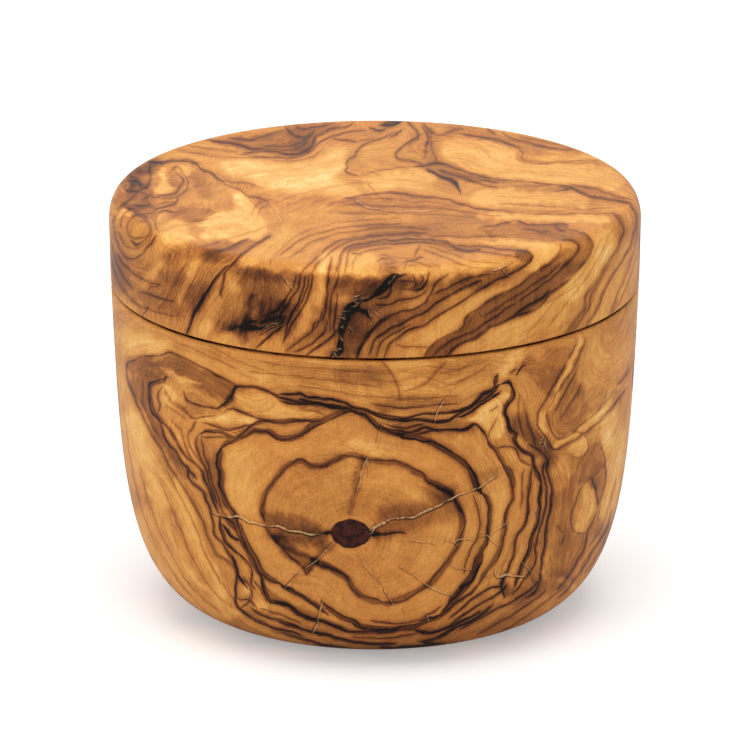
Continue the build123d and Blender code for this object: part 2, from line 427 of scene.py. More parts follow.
    (1.6, 0.5, [(590,478), (582,488), (575,502), (571,516), (572,528), (579,533), (588,531)]),
    # west
    (1.4, 0.45, [(166,470), (178,492), (190,515), (200,540), (208,560), (220,580), (234,600)], 39),
    (1.2, 0.4, [(160,480), (170,505), (180,528), (190,552), (201,574), (214,592), (230,607)], 41),
    (1.4, 0.4, [(140,470), (148,500), (158,528), (170,552), (184,576), (200,596), (220,612)], 43),
    (1.2, 0.35, [(122,400), (128,440), (134,480), (144,516), (157,547), (172,572), (190,594)], 45),
    # tangle
    (3.2, 0.9, [(220,519), (221,529), (224,536), (226,543), (234,551), (240,555)]),
    (3.4, 0.9, [(222,524), (226,529), (230,535), (235,539), (241,541)]),
    (8.0, 0.85, [(226,519), (231,523), (235,529)]),
    (2.2, 0.75, [(227,544), (234,551), (240,555), (246,560), (251,567), (252,575), (250,582), (254,588)]),
    (4.2, 0.95, [(232,557), (235,563), (237,569), (238,576), (243,582), (248,588)]),
    # foot sweep
    (3.8, 0.95, [(258,573), (262,580), (264,588), (267,595), (271,601), (280,603), (290,607), (298,613),
        (306,618), (316,620), (325,622), (335,626), (348,630)], 27),
    (3.0, 0.85, [(237,576), (235,586), (236,594), (235,602), (239,609), (248,615), (257,621), (269,626),
        (280,629), (292,632), (303,636)], 31),
    (2.2, 0.75, [(252,609), (260,615), (269,617), (280,620), (291,624), (302,628)]),
    (1.6, 0.6, [(262,609), (275,612), (287,617), (300,623)]),
    # knot south west
    (2.4, 0.7, [(237,598), (242,600), (247,599), (252,602), (256,608)]),
    (2.0, 0.7, [(240,609), (245,606), (249,603), (250,597)]),
    (1.8, 0.7, [(244,578), (249,585), (252,591), (252,600)]),
    (1.6, 0.65, [(254,582), (259,586), (263,593), (266,600)]),
    # foot
    (2.4, 0.8, [(320,622), (330,624), (337,627), (345,630), (355,632), (366,632), (375,632), (388,632),
        (402,630)], 27),
    (2.8, 0.85, [(349,619), (353,623), (358,627), (364,629), (372,631)]),
    (3.0, 0.9, [(280,622), (292,626), (303,629), (313,632), (322,633), (335,638), (350,641), (365,643),
        (380,644), (396,643)], 30),
    (5.0, 0.95, [(314,631), (319,633), (324,635)]),
    (2.4, 0.8, [(280,632), (295,637), (310,641), (325,645), (342,648), (360,650)], 32),
    (1.6, 0.6, [(352,636), (370,638), (388,638), (404,636), (420,632)]),
    (3.0, 0.9, [(420,641), (432,640), (445,634), (455,628), (470,622), (480,615), (492,606)], 29),
    (3.4, 0.9, [(415,630), (430,633), (445,629), (460,622), (470,617), (480,611)], 27),
    (2.6, 0.85, [(450,617), (458,611), (465,605), (472,599), (480,594), (490,588), (500,586)], 30),
    (2.4, 0.8, [(450,625), (460,617), (470,610), (478,605), (485,602), (500,592), (506,585)], 31),
    (2.0, 0.7, [(460,630), (470,624), (480,618), (500,607), (515,600), (530,590), (538,580)], 33),
    (1.6, 0.6, [(478,634), (496,624), (514,614), (532,602), (546,590)], 36),
    (1.4, 0.5, [(490,638), (512,626), (534,611), (552,597), (566,584)], 39),
    (6.0, 1.0, [(424,643), (434,645), (448,645)]),
    (3.0, 0.95, [(380,647), (400,648), (422,646), (444,646), (462,642)]),
    # top vee
    (2.4, 0.4, [(383,362), (390,372), (396,382), (399,390), (400,398)]),
    (2.4, 0.4, [(445,362), (438,370), (430,379), (420,386), (405,391)]),
    # crown
    (1.4, 0.35, [(250,371), (275,374), (300,377), (330,380), (352,383), (375,387)], 40),
    (1.2, 0.3, [(262,362), (290,366), (318,368), (345,370), (372,373)], 43),
    (1.4, 0.35, [(300,386), (325,390), (350,394), (380,398), (420,399), (455,396)], 38),
    (1.2, 0.3, [(405,372), (425,374), (450,372), (470,366), (488,360)], 42),
    (1.4, 0.35, [(440,388), (460,382), (476,374), (488,364)]),
    (1.2, 0.3, [(180,344), (200,352), (222,362), (240,372), (256,380)], 41),
    (1.2, 0.3, [(212,348), (232,358), (252,366), (270,372)], 44),
    # middle east
    (1.6, 0.45, [(524,400), (526,415), (530,428), (534,440), (536,450)]),
    (2.0, 0.6, [(530,445), (538,450), (545,455), (549,462)]),
    (1.4, 0.45, [(519,395), (518,410), (520,425), (525,440)]),
    # thorn east
    (1.6, 0.5, [(575,372), (570,382), (563,396), (556,410)]),
    (1.4, 0.4, [(581,384), (575,396), (567,408), (560,420)]),
    # hood inner
    (3.0, 0.34, [(142,378), (143,388), (142,400), (146,412), (152,424), (160,438)]),
    # chip
    (1.4, 0.5, [(163,388), (167,393), (171,400)]),
    (1.3, 0.45, [(164,404), (171,409), (178,414), (186,419)]),
    (1.3, 0.4, [(170,401), (177,407), (184,412), (190,416)]),
    (1.6, 0.45, [(171,421), (176,426), (182,431)]),
    # fleck east
    (1.4, 0.5, [(557,526), (562,532)]),
    (1.4, 0.45, [(564,538), (560,545)]),
]

# A patch is (half width, soft width, lift in tone, pixels along it).
# A lift below 0 is browner, and one above 0 is paler.

bowlPatches = [
    # hood
    (1.5, 2, 0.1, [(163,368), (176,376), (190,384)]),
    (6, 4, 0.04, [(164,390), (172,402), (178,414)]),
    (4, 4, 0.08, [(184,436), (190,454), (200,470)]),
    (8, 8, -0.06, [(150,368), (180,372)]),
    # honey island low
    (3, 2.5, 0.1, [(200,416), (225,416), (252,420)]),
    # tangle shade
    (7, 8, -0.12, [(206,446), (212,476), (217,500)]),
    # left corridor
    (3, 4, -0.06, [(212,460), (214,480), (220,500)]),
    # inner field
    (40, 22, -0.035, [(330,500), (370,540)]),
    # west field
    (14, 12, 0.03, [(240,460), (238,500)]),
    # crack west
    (4, 8, -0.21, [(268,519), (290,522), (312,528)]),
    (5, 9, -0.14, [(284,538), (300,541), (318,543)]),
    # wedge
    (5, 4, -0.2, [(278,540), (290,552), (302,560), (312,563)]),
    (2, 4, -0.14, [(318,562), (334,568), (346,578)]),
    # crack east
    (4, 8, -0.18, [(384,514), (410,510), (436,502), (454,494)]),
    (5, 10, -0.16, [(378,532), (402,526), (430,516), (456,508)]),
    # cloud east
    (5, 8, -0.16, [(430,490), (448,493)]),
    # crack
    (2.5, 4, -0.16, [(363,460), (358,478), (354,495), (351,512)]),
    (6, 8, 0.06, [(350,450), (366,452)]),
    (2.5, 5, -0.16, [(332,545), (318,556), (306,568)]),
    # ring gap north
    (5, 6, 0.03, [(280,450), (330,446), (380,450), (430,464)]),
    # cap shade
    (6, 6, -0.14, [(290,399), (330,404), (352,410)]),
    (6, 6, -0.14, [(400,426), (440,427), (466,428)]),
    (4, 5, -0.1, [(380,406), (420,402), (456,400)]),
    # crotch glow
    (4, 5, 0.14, [(502,372), (514,358), (520,352)]),
    (6, 5, -0.05, [(494,424), (500,438)]),
    # knuckle shade
    (5, 6, -0.12, [(484,476), (492,474)]),
    # east dusk
    (7, 7, -0.24, [(520,424), (530,434), (540,446), (550,460)]),
    # sash
    (2.0, 1.6, 0.14, [(579,341), (575,352), (570,364), (564,377), (559,388), (553,400), (547,412), (542,422),
        (544,430)]),
    (2.6, 1.6, 0.16, [(556,446), (563,443), (569,439), (575,435), (581,430), (587,425), (593,420), (599,413),
        (604,407), (608,401), (612,394), (617,386)]),
    (6, 5, -0.05, [(568,382), (576,388)]),
    # knot east
    (16, 12, 0.05, [(606,350), (602,370)]),
    # east
    (9, 9, 0.02, [(560,516), (558,545), (556,556)]),
    (5, 4, 0.06, [(562,462), (564,474), (558,488)]),
    (8, 10, 0.15, [(610,420), (613,450), (613,480), (606,510)]),
    # flank shade
    (5, 5, -0.1, [(544,470), (547,500), (541,540), (532,574)]),
    # south
    (5, 4, -0.16, [(503,586), (509,592)]),
    (8, 8, -0.14, [(520,596), (545,584), (560,580)]),
    # painted shade: the lowest band of the bowl darker, where it turns away from the light
    (12, 12, -0.08, [(250,626), (330,640), (400,644), (470,630), (520,606)]),
    # west
    (5, 6, 0.11, [(178,484), (187,520), (198,548), (209,570), (224,592)]),
    # painted sheen: paler along the bowl's left edge
    (8, 10, 0.14, [(134,420), (148,460), (162,500)]),
    (4, 6, -0.05, [(150,440), (164,478), (178,512), (190,545), (206,580)]),
    (5, 6, -0.05, [(146,500), (160,540), (180,575), (206,604), (236,624)]),
    (8, 9, 0.14, [(128,338), (150,346), (158,350)]),
    # crown
    (4, 6, 0.06, [(190,356), (230,372), (262,378)]),
    (8, 9, 0.02, [(262,368), (300,372), (330,366)]),
    (8, 9, -0.08, [(345,375), (378,376)]),
    (9, 7, 0.08, [(400,368), (420,370), (408,380)]),
    (7, 7, 0.02, [(450,384), (472,376)]),
    # knot yellow
    (2.5, 2, 0.22, [(244,587), (248,592)]),
    (2.5, 2, 0.14, [(258,604), (265,607)]),
    # foot glow
    (2.5, 3, 0.1, [(236,612), (260,628), (285,638), (310,646)]),
    # west foot pale
    (10, 10, 0.1, [(146,520), (164,556), (192,588), (222,612)]),
    # crack west middle
    (6, 8, -0.14, [(272,531), (296,535), (322,538)]),
    # crown shade
    (9, 8, -0.05, [(300,374), (350,376), (400,375), (450,370), (480,366)]),
    # sash outside
    (5, 6, 0.08, [(602,424), (608,438)]),
    # east sheen
    (6, 6, -0.06, [(600,532), (609,542)]),
    # yellow east
    (3, 2.5, 0.12, [(542,573), (547,576)]),
    (3, 2.5, 0.12, [(562,581), (573,586)]),
    # west
    (10, 12, 0.04, [(236,456), (232,480), (240,500)]),
    # painted sheen: paler along the bowl's left edge
    (4, 8, 0.09, [(119,376), (124,430), (134,480)]),
    # scuff
    (4, 4, 0.06, [(350,444), (366,446), (382,450), (394,454)]),
    (4, 5, 0.04, [(334,466), (346,472), (358,466)]),
    # east smudge
    (8, 9, -0.06, [(562,500), (566,530), (560,560)]),
]

# A field is (lift in tone, softness of its edge in pixels, pixels round it).

bowlFields = [
    # hood
    (-0.15, 2.0, [(129,372), (129,365), (136,361), (143,358), (155,358), (168,355), (180,359), (195,366),
        (210,373), (224,381), (233,388), (228,394), (221,399), (208,394), (196,388), (186,384), (174,378),
        (164,378), (156,381), (150,385), (147,393), (149,405), (154,416), (160,426), (168,440), (178,455),
        (188,468), (190,478), (182,476), (171,459), (161,444), (149,424), (138,400), (131,386)]),
    # island
    (0.09, 1.5, [(236,392), (252,390), (268,393), (282,399), (300,406), (316,414), (300,417), (280,418),
        (262,415), (246,410), (236,402)]),
    # crotch
    (0.17, 1.5, [(512,396), (504,402), (502,412), (506,424), (504,434), (496,440), (490,434), (482,424),
        (472,420), (464,421), (474,416), (484,406), (494,398), (502,393)]),
    # third gap
    (0.04, 2.0, [(484,478), (496,474), (504,486), (506,502), (500,524), (494,546), (484,566), (478,578),
        (484,556), (492,532), (494,512), (490,496)]),
    # rust
    (-0.08, 1.5, [(546,348), (557,347), (567,345), (572,348), (568,358), (563,368), (557,366), (549,361),
        (544,356)]),
    (-0.12, 2.0, [(527,352), (536,360), (545,361), (553,365), (561,370), (559,379), (555,388), (550,396),
        (542,391), (534,384), (526,374), (522,362)]),
    # sash inside
    (-0.08, 1.2, [(577,347), (573,359), (569,370), (563,380), (557,392), (552,402), (548,412), (547,420),
        (552,428), (559,437), (565,437), (574,431), (582,425), (589,415), (592,408), (586,402), (584,394),
        (583,386), (577,378), (578,368), (581,356), (583,346)]),
    # east
    (-0.12, 1.2, [(591,443), (599,443), (602,449), (603,459), (606,470), (607,478), (604,488), (601,498),
        (599,507), (596,502), (595,492), (590,482), (586,479), (580,486), (577,478), (576,466), (579,459),
        (586,453), (590,448)]),
    (0.12, 1.2, [(586,481), (591,487), (595,494), (596,503), (594,511), (590,521), (587,530), (581,533),
        (574,532), (575,524), (579,513), (583,504), (582,494), (581,487)]),
    (0.14, 1.2, [(584,434), (588,440), (588,448), (584,455), (577,458), (571,454), (569,447), (573,441),
        (579,437)]),
    (-0.09, 2.0, [(553,480), (560,473), (568,479), (574,472), (578,482), (575,492), (568,505), (565,518),
        (570,530), (578,534), (586,533), (586,545), (582,556), (576,565), (568,574), (560,578), (551,576),
        (545,568), (548,555), (550,540), (551,520), (552,500)]),
    # south west pocket
    (-0.14, 2.0, [(262,582), (272,590), (284,600), (300,606), (314,612), (318,620), (300,617), (284,608),
        (270,600)]),
    # hood
    (0.2, 1.2, [(161,369), (170,372), (180,376), (190,380), (201,384), (192,384), (182,382), (172,378),
        (165,374)]),
    (0.12, 1.0, [(163,383), (168,386), (174,391), (179,397), (175,401), (171,400), (167,396), (162,390)]),
    (0.1, 1.0, [(160,397), (164,396), (169,402), (173,408), (166,407), (161,403)]),
    # fold band
    (-0.08, 1.5, [(178,402), (186,405), (196,408), (208,410), (220,411), (232,411), (224,414), (214,417),
        (204,417), (194,418), (186,414), (178,408)]),
    # island small
    (0.08, 1.2, [(193,419), (205,418), (217,416), (226,413), (234,411), (244,413), (256,418), (250,422),
        (240,424), (228,424), (218,422), (206,421)]),
    # hook sliver
    (0.1, 1.0, [(168,420), (173,424), (177,430), (180,440), (181,448), (178,444), (174,435), (170,428)]),
]

# A crack is (width, brightness, pixels along it).

bowlCracks = [
    # west
    (2.6, 0.95, [(214,513), (222,516), (230,517), (236,516), (244,519), (250,522), (259,524), (264,525)]),
    (2.0, 0.85, [(270,526), (279,526), (285,529), (291,531), (300,531), (309,534), (314,534), (320,533)]),
    # east
    (1.9, 0.85, [(369,531), (373,528), (378,525), (384,522), (392,519), (400,518), (408,517), (414,517),
        (420,515), (427,511), (435,507), (445,502), (452,499), (458,495), (470,491), (480,487), (490,480),
        (497,476)]),
    (1.6, 0.8, [(372,533), (376,527), (381,526), (388,521)]),
    # north
    (1.5, 0.7, [(368,457), (365,464), (362,470), (360,480), (356,492)]),
    (1.3, 0.55, [(382,423), (378,440), (372,450)]),
    (1.6, 0.5, [(368,458), (369,466), (368,477)]),
    # south
    (1.4, 0.6, [(335,542), (325,551), (316,560), (306,568)]),
    (2.2, 0.9, [(299,573), (291,581), (286,587)]),
    (1.8, 0.75, [(322,600), (320,611), (317,621)]),
    (2.6, 0.9, [(318,624), (315,628), (313,632)]),
    # ray
    (1.2, 0.55, [(360,557), (366,566), (374,576), (382,585), (388,592)]),
    (2.6, 0.85, [(384,590), (390,599), (392,603)]),
    (1.2, 0.7, [(400,567), (408,571), (416,576), (424,583), (432,588), (445,593), (452,596)]),
    (1.1, 0.6, [(411,540), (425,542), (435,544)]),
    (1.6, 0.7, [(446,540), (452,541), (457,545)]),
    (1.4, 0.65, [(452,542), (462,539), (473,540)]),
    (1.3, 0.6, [(448,564), (460,568), (472,570)]),
    (1.4, 0.7, [(480,536), (486,535), (490,537), (497,545)]),
    (1.4, 0.6, [(492,533), (500,527), (508,522)]),
    (2.4, 0.9, [(495,572), (498,577), (507,575), (515,576), (524,577)]),
    (1.2, 0.6, [(483,575), (490,577)]),
    (1.2, 0.6, [(522,562), (527,566), (531,572), (533,580)]),
    # scratch
    (1.8, 0.75, [(445,400), (440,408), (437,414), (435,421)]),
    (1.8, 0.8, [(542,439), (545,443), (547,449)]),
    (1.5, 0.7, [(539,446), (541,441), (543,437)]),
    # spark
    (2.2, 0.7, [(428,617), (429,622)]),
    (2.0, 0.6, [(404,607), (405,612)]),
    (2.0, 0.6, [(535,512), (537,516)]),
    (1.8, 0.55, [(506,470), (508,472)]),
    # dry
    (1.2, 0.45, [(343,442), (352,447), (362,449)]),
    (1.4, 0.45, [(350,452), (364,446), (376,445)]),
    (1.6, 0.5, [(383,447), (390,450), (396,447)]),
    (1.2, 0.4, [(386,443), (391,453), (394,458)]),
    # cream east
    (1.4, 0.5, [(589,556), (585,562), (581,568)]),
    # scuff
    (1.6, 0.34, [(337,444), (345,443), (353,446), (360,444)]),
    (1.6, 0.36, [(356,449), (364,447), (371,450), (379,448)]),
    (1.8, 0.4, [(380,446), (387,449), (394,446)]),
    (1.6, 0.34, [(384,454), (390,457), (397,453), (403,451)]),
    (1.4, 0.3, [(313,452), (325,454), (340,453), (352,455)]),
    (1.6, 0.32, [(332,466), (340,470), (348,467)]),
    (1.4, 0.3, [(345,476), (352,479), (359,474), (364,468)]),
]

bowlHeart = {
    "middle": (351, 533),
    "rayCount": 11,
    "rayLength": 30,
    "rayFade": (60, 125),
    "outline": [
        (330,533), (332,527), (336,522), (343,520), (350,519), (358,521), (365,524), (370,529),
        (372,534), (368,540), (362,545), (354,548), (346,548), (340,545), (334,540),
    ],
}

# A knot at the back is (bearing from the front, height, level at its core, levels per millimetre, reach).

bowlKnots = [(118, 40, 18, 1.6, 9), (168, 22, 4, 1.5, 15), (244, 47, 30, 1.3, 7)]
lidKnots = [(150, 69, 46, 1.8, 7)]

# Guides steer the fine grain where no vein does: (growth level, pixels along it).

bowlGuides = [
    # heart
    (0, [(350,533)]),
    (6, [(316,533), (330,510), (351,502), (375,508), (388,533), (376,560), (351,568), (326,556)]),
    # crown
    (45, [(130,325), (180,338), (240,353), (300,361)]),
    (46, [(340,364), (400,365), (460,361)]),
    (44, [(500,357), (520,352)]),
    # inner crown
    (39, [(420,403), (450,400), (480,386), (490,378)]),
    # west
    (47, [(114,330), (116,370)]),
    (48, [(117,380), (122,430), (130,480), (145,530), (165,570)]),
    # sash corner
    (46, [(584,410), (576,424)]),
    # east
    (58, [(609,340)]),
    (53, [(597,345), (603,354), (613,353)]),
    (48, [(585,352), (592,368), (607,374), (622,368)]),
    (52, [(630,420), (628,450), (622,490), (612,530)]),
    # south edge
    (41, [(230,618), (280,640), (330,652), (400,655), (470,646), (530,622), (575,590)]),
]

lidVeins = [
    # north
    (3.0, 0.68, [(150,162), (158,163), (165,162), (172,161), (180,161), (188,161), (193,162), (197,164),
        (200,168)], 62),
    (2.6, 0.64, [(200,168), (204,170), (209,172), (214,176), (219,180), (224,182)], 60),
    (2.0, 0.52, [(224,184), (232,187), (239,190), (244,194), (250,197), (262,199), (268,202)]),
    (1.4, 0.4, [(222,181), (232,182), (242,182), (252,184), (262,188)]),
    (2.6, 0.56, [(206,139), (220,142), (232,143), (242,146), (252,149), (262,149)], 68),
    (2.6, 0.56, [(243,154), (255,152), (268,151), (280,153), (290,155), (300,153), (308,150), (313,145),
        (315,139), (320,134), (328,131), (335,129), (345,127), (352,124)], 66),
    (2.0, 0.5, [(250,157), (262,157), (280,158), (292,158), (303,155), (312,150), (318,144), (325,139),
        (335,136), (345,133), (355,131), (365,130)], 64),
    (1.6, 0.4, [(272,161), (285,161), (300,160), (312,157), (322,150)], 63),
    (1.3, 0.36, [(190,146), (205,148), (220,150), (238,152)], 65),
    (1.3, 0.36, [(180,150), (200,154), (215,157), (235,158), (260,159)]),
    (1.6, 0.44, [(230,138), (245,140), (258,138), (270,134), (281,131)], 70),
    (1.6, 0.44, [(262,145), (275,146), (290,146), (302,142), (308,134)]),
    (1.4, 0.4, [(258,148), (272,149), (286,150), (298,148), (306,143)]),
    (2.0, 0.48, [(286,128), (292,134), (300,138), (308,137), (314,131)]),
    (1.6, 0.48, [(296,126), (302,130), (310,128), (322,126), (334,124)]),
    # burl
    (3.2, 0.6, [(131,181), (135,181), (139,182), (142,186)]),
    (2.4, 0.58, [(127,190), (131,191), (136,192), (140,190)]),
    (2.4, 0.55, [(143,199), (147,197), (151,195)]),
    (2.0, 0.46, [(134,205), (141,206), (148,205)]),
    (2.4, 0.5, [(130,176), (134,178), (138,179)]),
    (2.4, 0.5, [(141,190), (147,187), (150,182), (151,176), (149,171), (150,166)]),
    (2.2, 0.56, [(158,195), (165,195), (172,194), (177,191), (180,187), (183,182), (182,178), (178,174)]),
    (2.4, 0.6, [(155,210), (160,208), (165,207), (169,206), (174,204), (178,201), (177,198)]),
    (3.0, 0.6, [(159,213), (164,211), (169,212), (174,212)]),
    (3.0, 0.6, [(133,217), (137,215), (142,216), (147,218)]),
    (1.6, 0.45, [(139,191), (144,193), (148,195)]),
    # eye
    (1.6, 0.42, [(128,231), (127,226), (131,219), (137,216), (144,219), (150,224), (151,231), (147,236),
        (141,238), (134,239), (129,235)]),
    (2.0, 0.52, [(114,228), (114,220), (117,214), (120,209), (126,205)]),
    (1.6, 0.48, [(115,230), (116,240), (120,250), (128,258), (138,258), (146,250), (152,242)]),
    (1.4, 0.44, [(121,226), (123,216), (128,211), (134,210)]),
    (1.4, 0.4, [(120,234), (123,243), (129,248), (137,249), (144,245)]),
    (4.0, 0.62, [(155,237), (151,244), (146,249)]),
    (4.0, 0.62, [(132,242), (137,246), (142,243)]),
    (1.6, 0.45, [(112,245), (116,262), (122,275), (132,288)], 56),
    (1.8, 0.5, [(116,252), (122,262), (130,270), (140,277), (150,283), (160,285)], 54),
    (1.4, 0.45, [(110,240), (112,262), (118,282), (128,296), (142,308)], 58),
    # west side
    (2.2, 0.5, [(142,292), (150,294), (160,298), (172,301)]),
    (1.8, 0.4, [(128,300), (140,306), (156,312), (176,317)]),
    # edge
    (3.4, 0.72, [(270,236), (262,241), (254,246), (246,252), (239,258), (233,263), (228,267)], 40),
    (2.8, 0.68, [(231,266), (226,272), (224,279), (222,287), (221,296)]),
    (3.4, 0.82, [(227,266), (221,273), (215,280), (211,286), (206,294), (201,303), (196,311), (192,319),
        (189,328), (187,334)], 40),
    (3.0, 0.44, [(248,240), (238,244), (228,249), (218,253)]),
    # west grain
    (1.6, 0.35, [(202,262), (196,275), (190,288), (182,302), (176,318)], 44),
    (1.4, 0.3, [(190,258), (180,275), (170,292), (160,308)], 47),
    (1.2, 0.3, [(172,252), (163,268), (154,282), (146,292)]),
    # smudge
    (5.4, 0.95, [(241,327), (245,326), (250,328), (258,328)]),
    (4.6, 0.42, [(223,328), (232,328), (241,326)]),
    (3.4, 0.95, [(259,323), (265,321), (271,320), (277,318), (284,317)]),
    (2.8, 0.9, [(257,329), (262,328), (268,326), (274,324), (280,321)]),
    (2.0, 0.6, [(266,316), (272,313), (278,310), (284,304)]),
    # feather
    (2.4, 0.8, [(257,348), (262,342), (269,337), (276,332), (284,326)]),
    # cascade
    (2.0, 0.65, [(300,276), (299,284), (297,291), (292,298), (288,304), (284,310), (280,316), (284,322)], 28),
    (2.0, 0.65, [(305,276), (304,286), (302,295), (298,303), (293,311), (290,318), (287,326), (286,334),
        (283,343)], 26),
    (1.8, 0.65, [(313,275), (312,283), (310,291), (308,298), (304,305), (299,313), (294,320), (290,328),
        (287,337)], 24),
    (1.4, 0.6, [(309,276), (308,286), (305,295), (301,303), (296,311)]),
    (1.6, 0.6, [(296,276), (294,284), (290,293), (284,301), (278,308)]),
    # basin
    (1.8, 0.55, [(286,351), (292,346), (298,341), (304,337), (310,333), (316,327), (320,321), (322,314),
        (324,306)]),
    (2.2, 0.6, [(296,352), (305,347), (313,343), (318,339), (323,334), (326,328), (327,320)]),
    (2.6, 0.7, [(306,355), (314,350), (321,346), (327,341), (332,336), (335,331)]),
    (1.6, 0.6, [(312,333), (313,327), (317,322), (322,320)]),
    # stripe
    (2.6, 0.62, [(332,258), (330,266), (328,275), (327,285), (327,295), (326,305), (325,313), (323,321)], 20),
    (2.0, 0.55, [(342,255), (339,266), (338,276), (336,284), (333,291), (331,299)], 18),
    (1.6, 0.5, [(331,290), (331,300), (330,310), (330,320), (329,331)]),
    (1.8, 0.55, [(337,296), (337,306), (336,314), (334,322), (333,330)], 16),
    # bark
    (8.5, 1.0, [(398,276), (392,279), (388,283), (384,288), (379,292), (374,296)], 6),
    (3.0, 1.0, [(375,296), (370,299), (364,301), (358,302)], 6),
    (9.5, 1.0, [(359,301), (356,304), (353,307), (349,310), (345,314)]),
    (6.0, 0.84, [(347,312), (345,318), (342,325), (341,332), (341,339)], 8),
    (3.4, 0.8, [(355,309), (361,310), (366,313), (371,318)]),
    (3.0, 0.6, [(392,284), (391,290), (388,296), (380,299)]),
    # swirl
    (2.2, 0.65, [(429,273), (427,280), (424,286), (419,289), (413,290), (405,289)], 9),
    (1.6, 0.6, [(414,276), (416,282), (415,287), (411,288)]),
    (1.4, 0.5, [(401,281), (408,281), (414,281)]),
    (1.6, 0.5, [(421,276), (423,280), (420,284)]),
    # flow
    (2.2, 0.6, [(378,305), (386,306), (392,304), (398,301), (406,299), (414,298), (420,295), (425,291)], 8),
    (2.0, 0.58, [(366,336), (374,327), (379,322), (386,317), (394,314), (404,311), (413,310), (420,306),
        (426,301), (430,295), (434,287), (440,280), (448,274)], 10),
    (3.2, 0.75, [(356,358), (359,350), (363,342), (369,335), (375,328), (382,321), (389,317)], 10),
    (2.2, 0.64, [(369,355), (371,348), (374,341), (379,337), (386,332), (393,327), (400,325), (407,321),
        (413,318), (420,315), (428,310), (436,304), (444,299), (452,294), (460,290), (469,286),
        (480,281)], 11),
    (2.4, 0.66, [(385,359), (387,351), (389,345), (394,341), (399,337), (405,333), (410,330), (417,328),
        (423,326), (430,321), (438,316), (446,311), (455,306), (463,301), (472,295), (482,289),
        (494,283)], 13),
    (1.6, 0.55, [(377,356), (378,348), (382,342), (390,336), (400,330), (410,325)]),
    (1.4, 0.5, [(398,345), (410,347), (420,347), (428,348)]),
    (1.8, 0.5, [(430,296), (440,291), (450,286), (462,281), (474,277), (488,274)]),
    # sash
    (2.4, 0.5, [(424,358), (427,352), (430,348), (436,343), (441,340), (446,337), (452,334), (460,330),
        (464,325), (465,320), (470,314), (476,311), (482,306), (490,300), (500,295), (510,290), (520,284),
        (528,278), (536,272), (545,266), (553,261), (560,254)], 20),
    (2.8, 0.55, [(446,356), (450,352), (455,348), (462,344), (470,340), (478,337), (485,332), (490,327),
        (497,325), (505,322), (514,318), (521,315), (528,313), (536,309), (542,304), (547,297), (554,291),
        (560,287), (567,281), (573,275), (580,268), (586,261), (591,253), (592,245), (590,239),
        (585,234)], 23),
    (2.8, 0.65, [(513,317), (525,308), (535,302), (543,297), (549,292)], 22),
    (1.8, 0.5, [(433,356), (440,349), (450,342), (462,336), (474,331), (487,322), (500,313), (514,304)], 21),
    (1.6, 0.45, [(484,316), (496,309), (510,300), (524,291), (538,282), (550,273), (560,264)]),
    (1.6, 0.45, [(520,300), (534,291), (546,282), (558,273), (566,264), (573,255)]),
    (2.2, 0.55, [(460,347), (468,341), (478,335), (487,330)]),
    (4.0, 0.5, [(562,268), (568,263), (574,257)]),
    # inner vee
    (2.0, 0.5, [(440,243), (450,245), (460,246), (470,246), (485,247), (497,249), (508,250), (520,251),
        (528,252), (532,256)], 14),
    (2.4, 0.62, [(532,256), (530,262), (524,267), (515,271), (505,277), (495,281), (486,286), (478,290),
        (470,295)], 14),
    (1.6, 0.44, [(450,250), (465,251), (480,252), (494,254), (508,256), (518,257)]),
    # outer vee
    (1.6, 0.44, [(480,229), (488,226), (497,225), (508,222), (518,221), (528,225), (542,225), (555,225),
        (563,223), (567,225), (566,229), (575,231), (585,234)], 20),
    (1.8, 0.4, [(524,229), (534,230), (541,232), (548,232)]),
    (2.0, 0.44, [(553,225), (557,228), (561,230), (567,230)]),
    (2.6, 0.52, [(562,240), (572,240), (578,245), (577,252), (570,260), (562,267)]),
    (1.8, 0.4, [(561,245), (560,252), (553,259), (545,266)]),
    (1.4, 0.4, [(430,236), (450,236), (470,237), (490,236), (510,237)], 18),
    # long line
    (2.2, 0.56, [(345,198), (355,197), (365,195), (375,193), (388,192), (400,193), (412,195), (425,197),
        (440,198), (450,200), (458,203), (468,205), (475,208), (484,209), (494,210)], 29),
    (1.6, 0.44, [(494,210), (505,211), (520,213), (532,214), (545,214), (555,214), (565,214), (585,213),
        (605,213), (614,214)], 29),
    (3.2, 0.52, [(613,213), (618,217), (622,224), (624,230), (622,238), (619,246), (614,254), (608,263),
        (602,272), (597,281), (591,288), (586,295), (585,303), (583,311), (578,317), (572,325), (567,333),
        (563,340)], 29),
    (1.8, 0.45, [(610,262), (604,272), (599,282), (594,290), (590,298), (589,306), (583,316), (577,325),
        (571,333)]),
    # rim
    (3.0, 0.55, [(630,206), (635,212), (637,220), (634,232), (631,244), (627,253), (621,262), (615,271),
        (609,280), (605,289), (601,297), (599,305), (594,314), (589,323), (584,331)], 34),
    (2.0, 0.45, [(638,216), (637,232), (634,250), (629,266), (624,280), (619,292), (614,304), (608,318)], 37),
    (1.4, 0.4, [(639,226), (638,246), (634,264), (629,281), (624,294), (619,306)], 39),
    (6.0, 0.45, [(617,300), (613,309), (608,317)]),
    # east fine
    (1.1, 0.35, [(600,240), (592,258), (580,276), (566,290), (552,304), (540,320), (528,332)], 26),
    (1.1, 0.35, [(608,236), (600,256), (588,276), (574,294), (560,312), (548,328)], 27),
    (1.2, 0.4, [(578,284), (566,293), (556,298), (546,303)]),
    # spine
    (3.0, 0.6, [(406,121), (410,124), (414,128), (418,132), (418,137), (412,141), (405,145)], 46),
    (2.4, 0.56, [(405,145), (399,150), (395,154), (397,158), (403,160), (412,161), (422,163)], 46),
    (2.2, 0.56, [(423,127), (427,133), (428,139), (426,145), (425,152)]),
    (4.5, 0.5, [(424,125), (429,130), (434,133)]),
    (3.0, 0.42, [(436,135), (444,134), (452,130), (462,129)]),
    (2.0, 0.36, [(432,128), (430,140), (432,150), (437,160), (444,166)]),
    # point
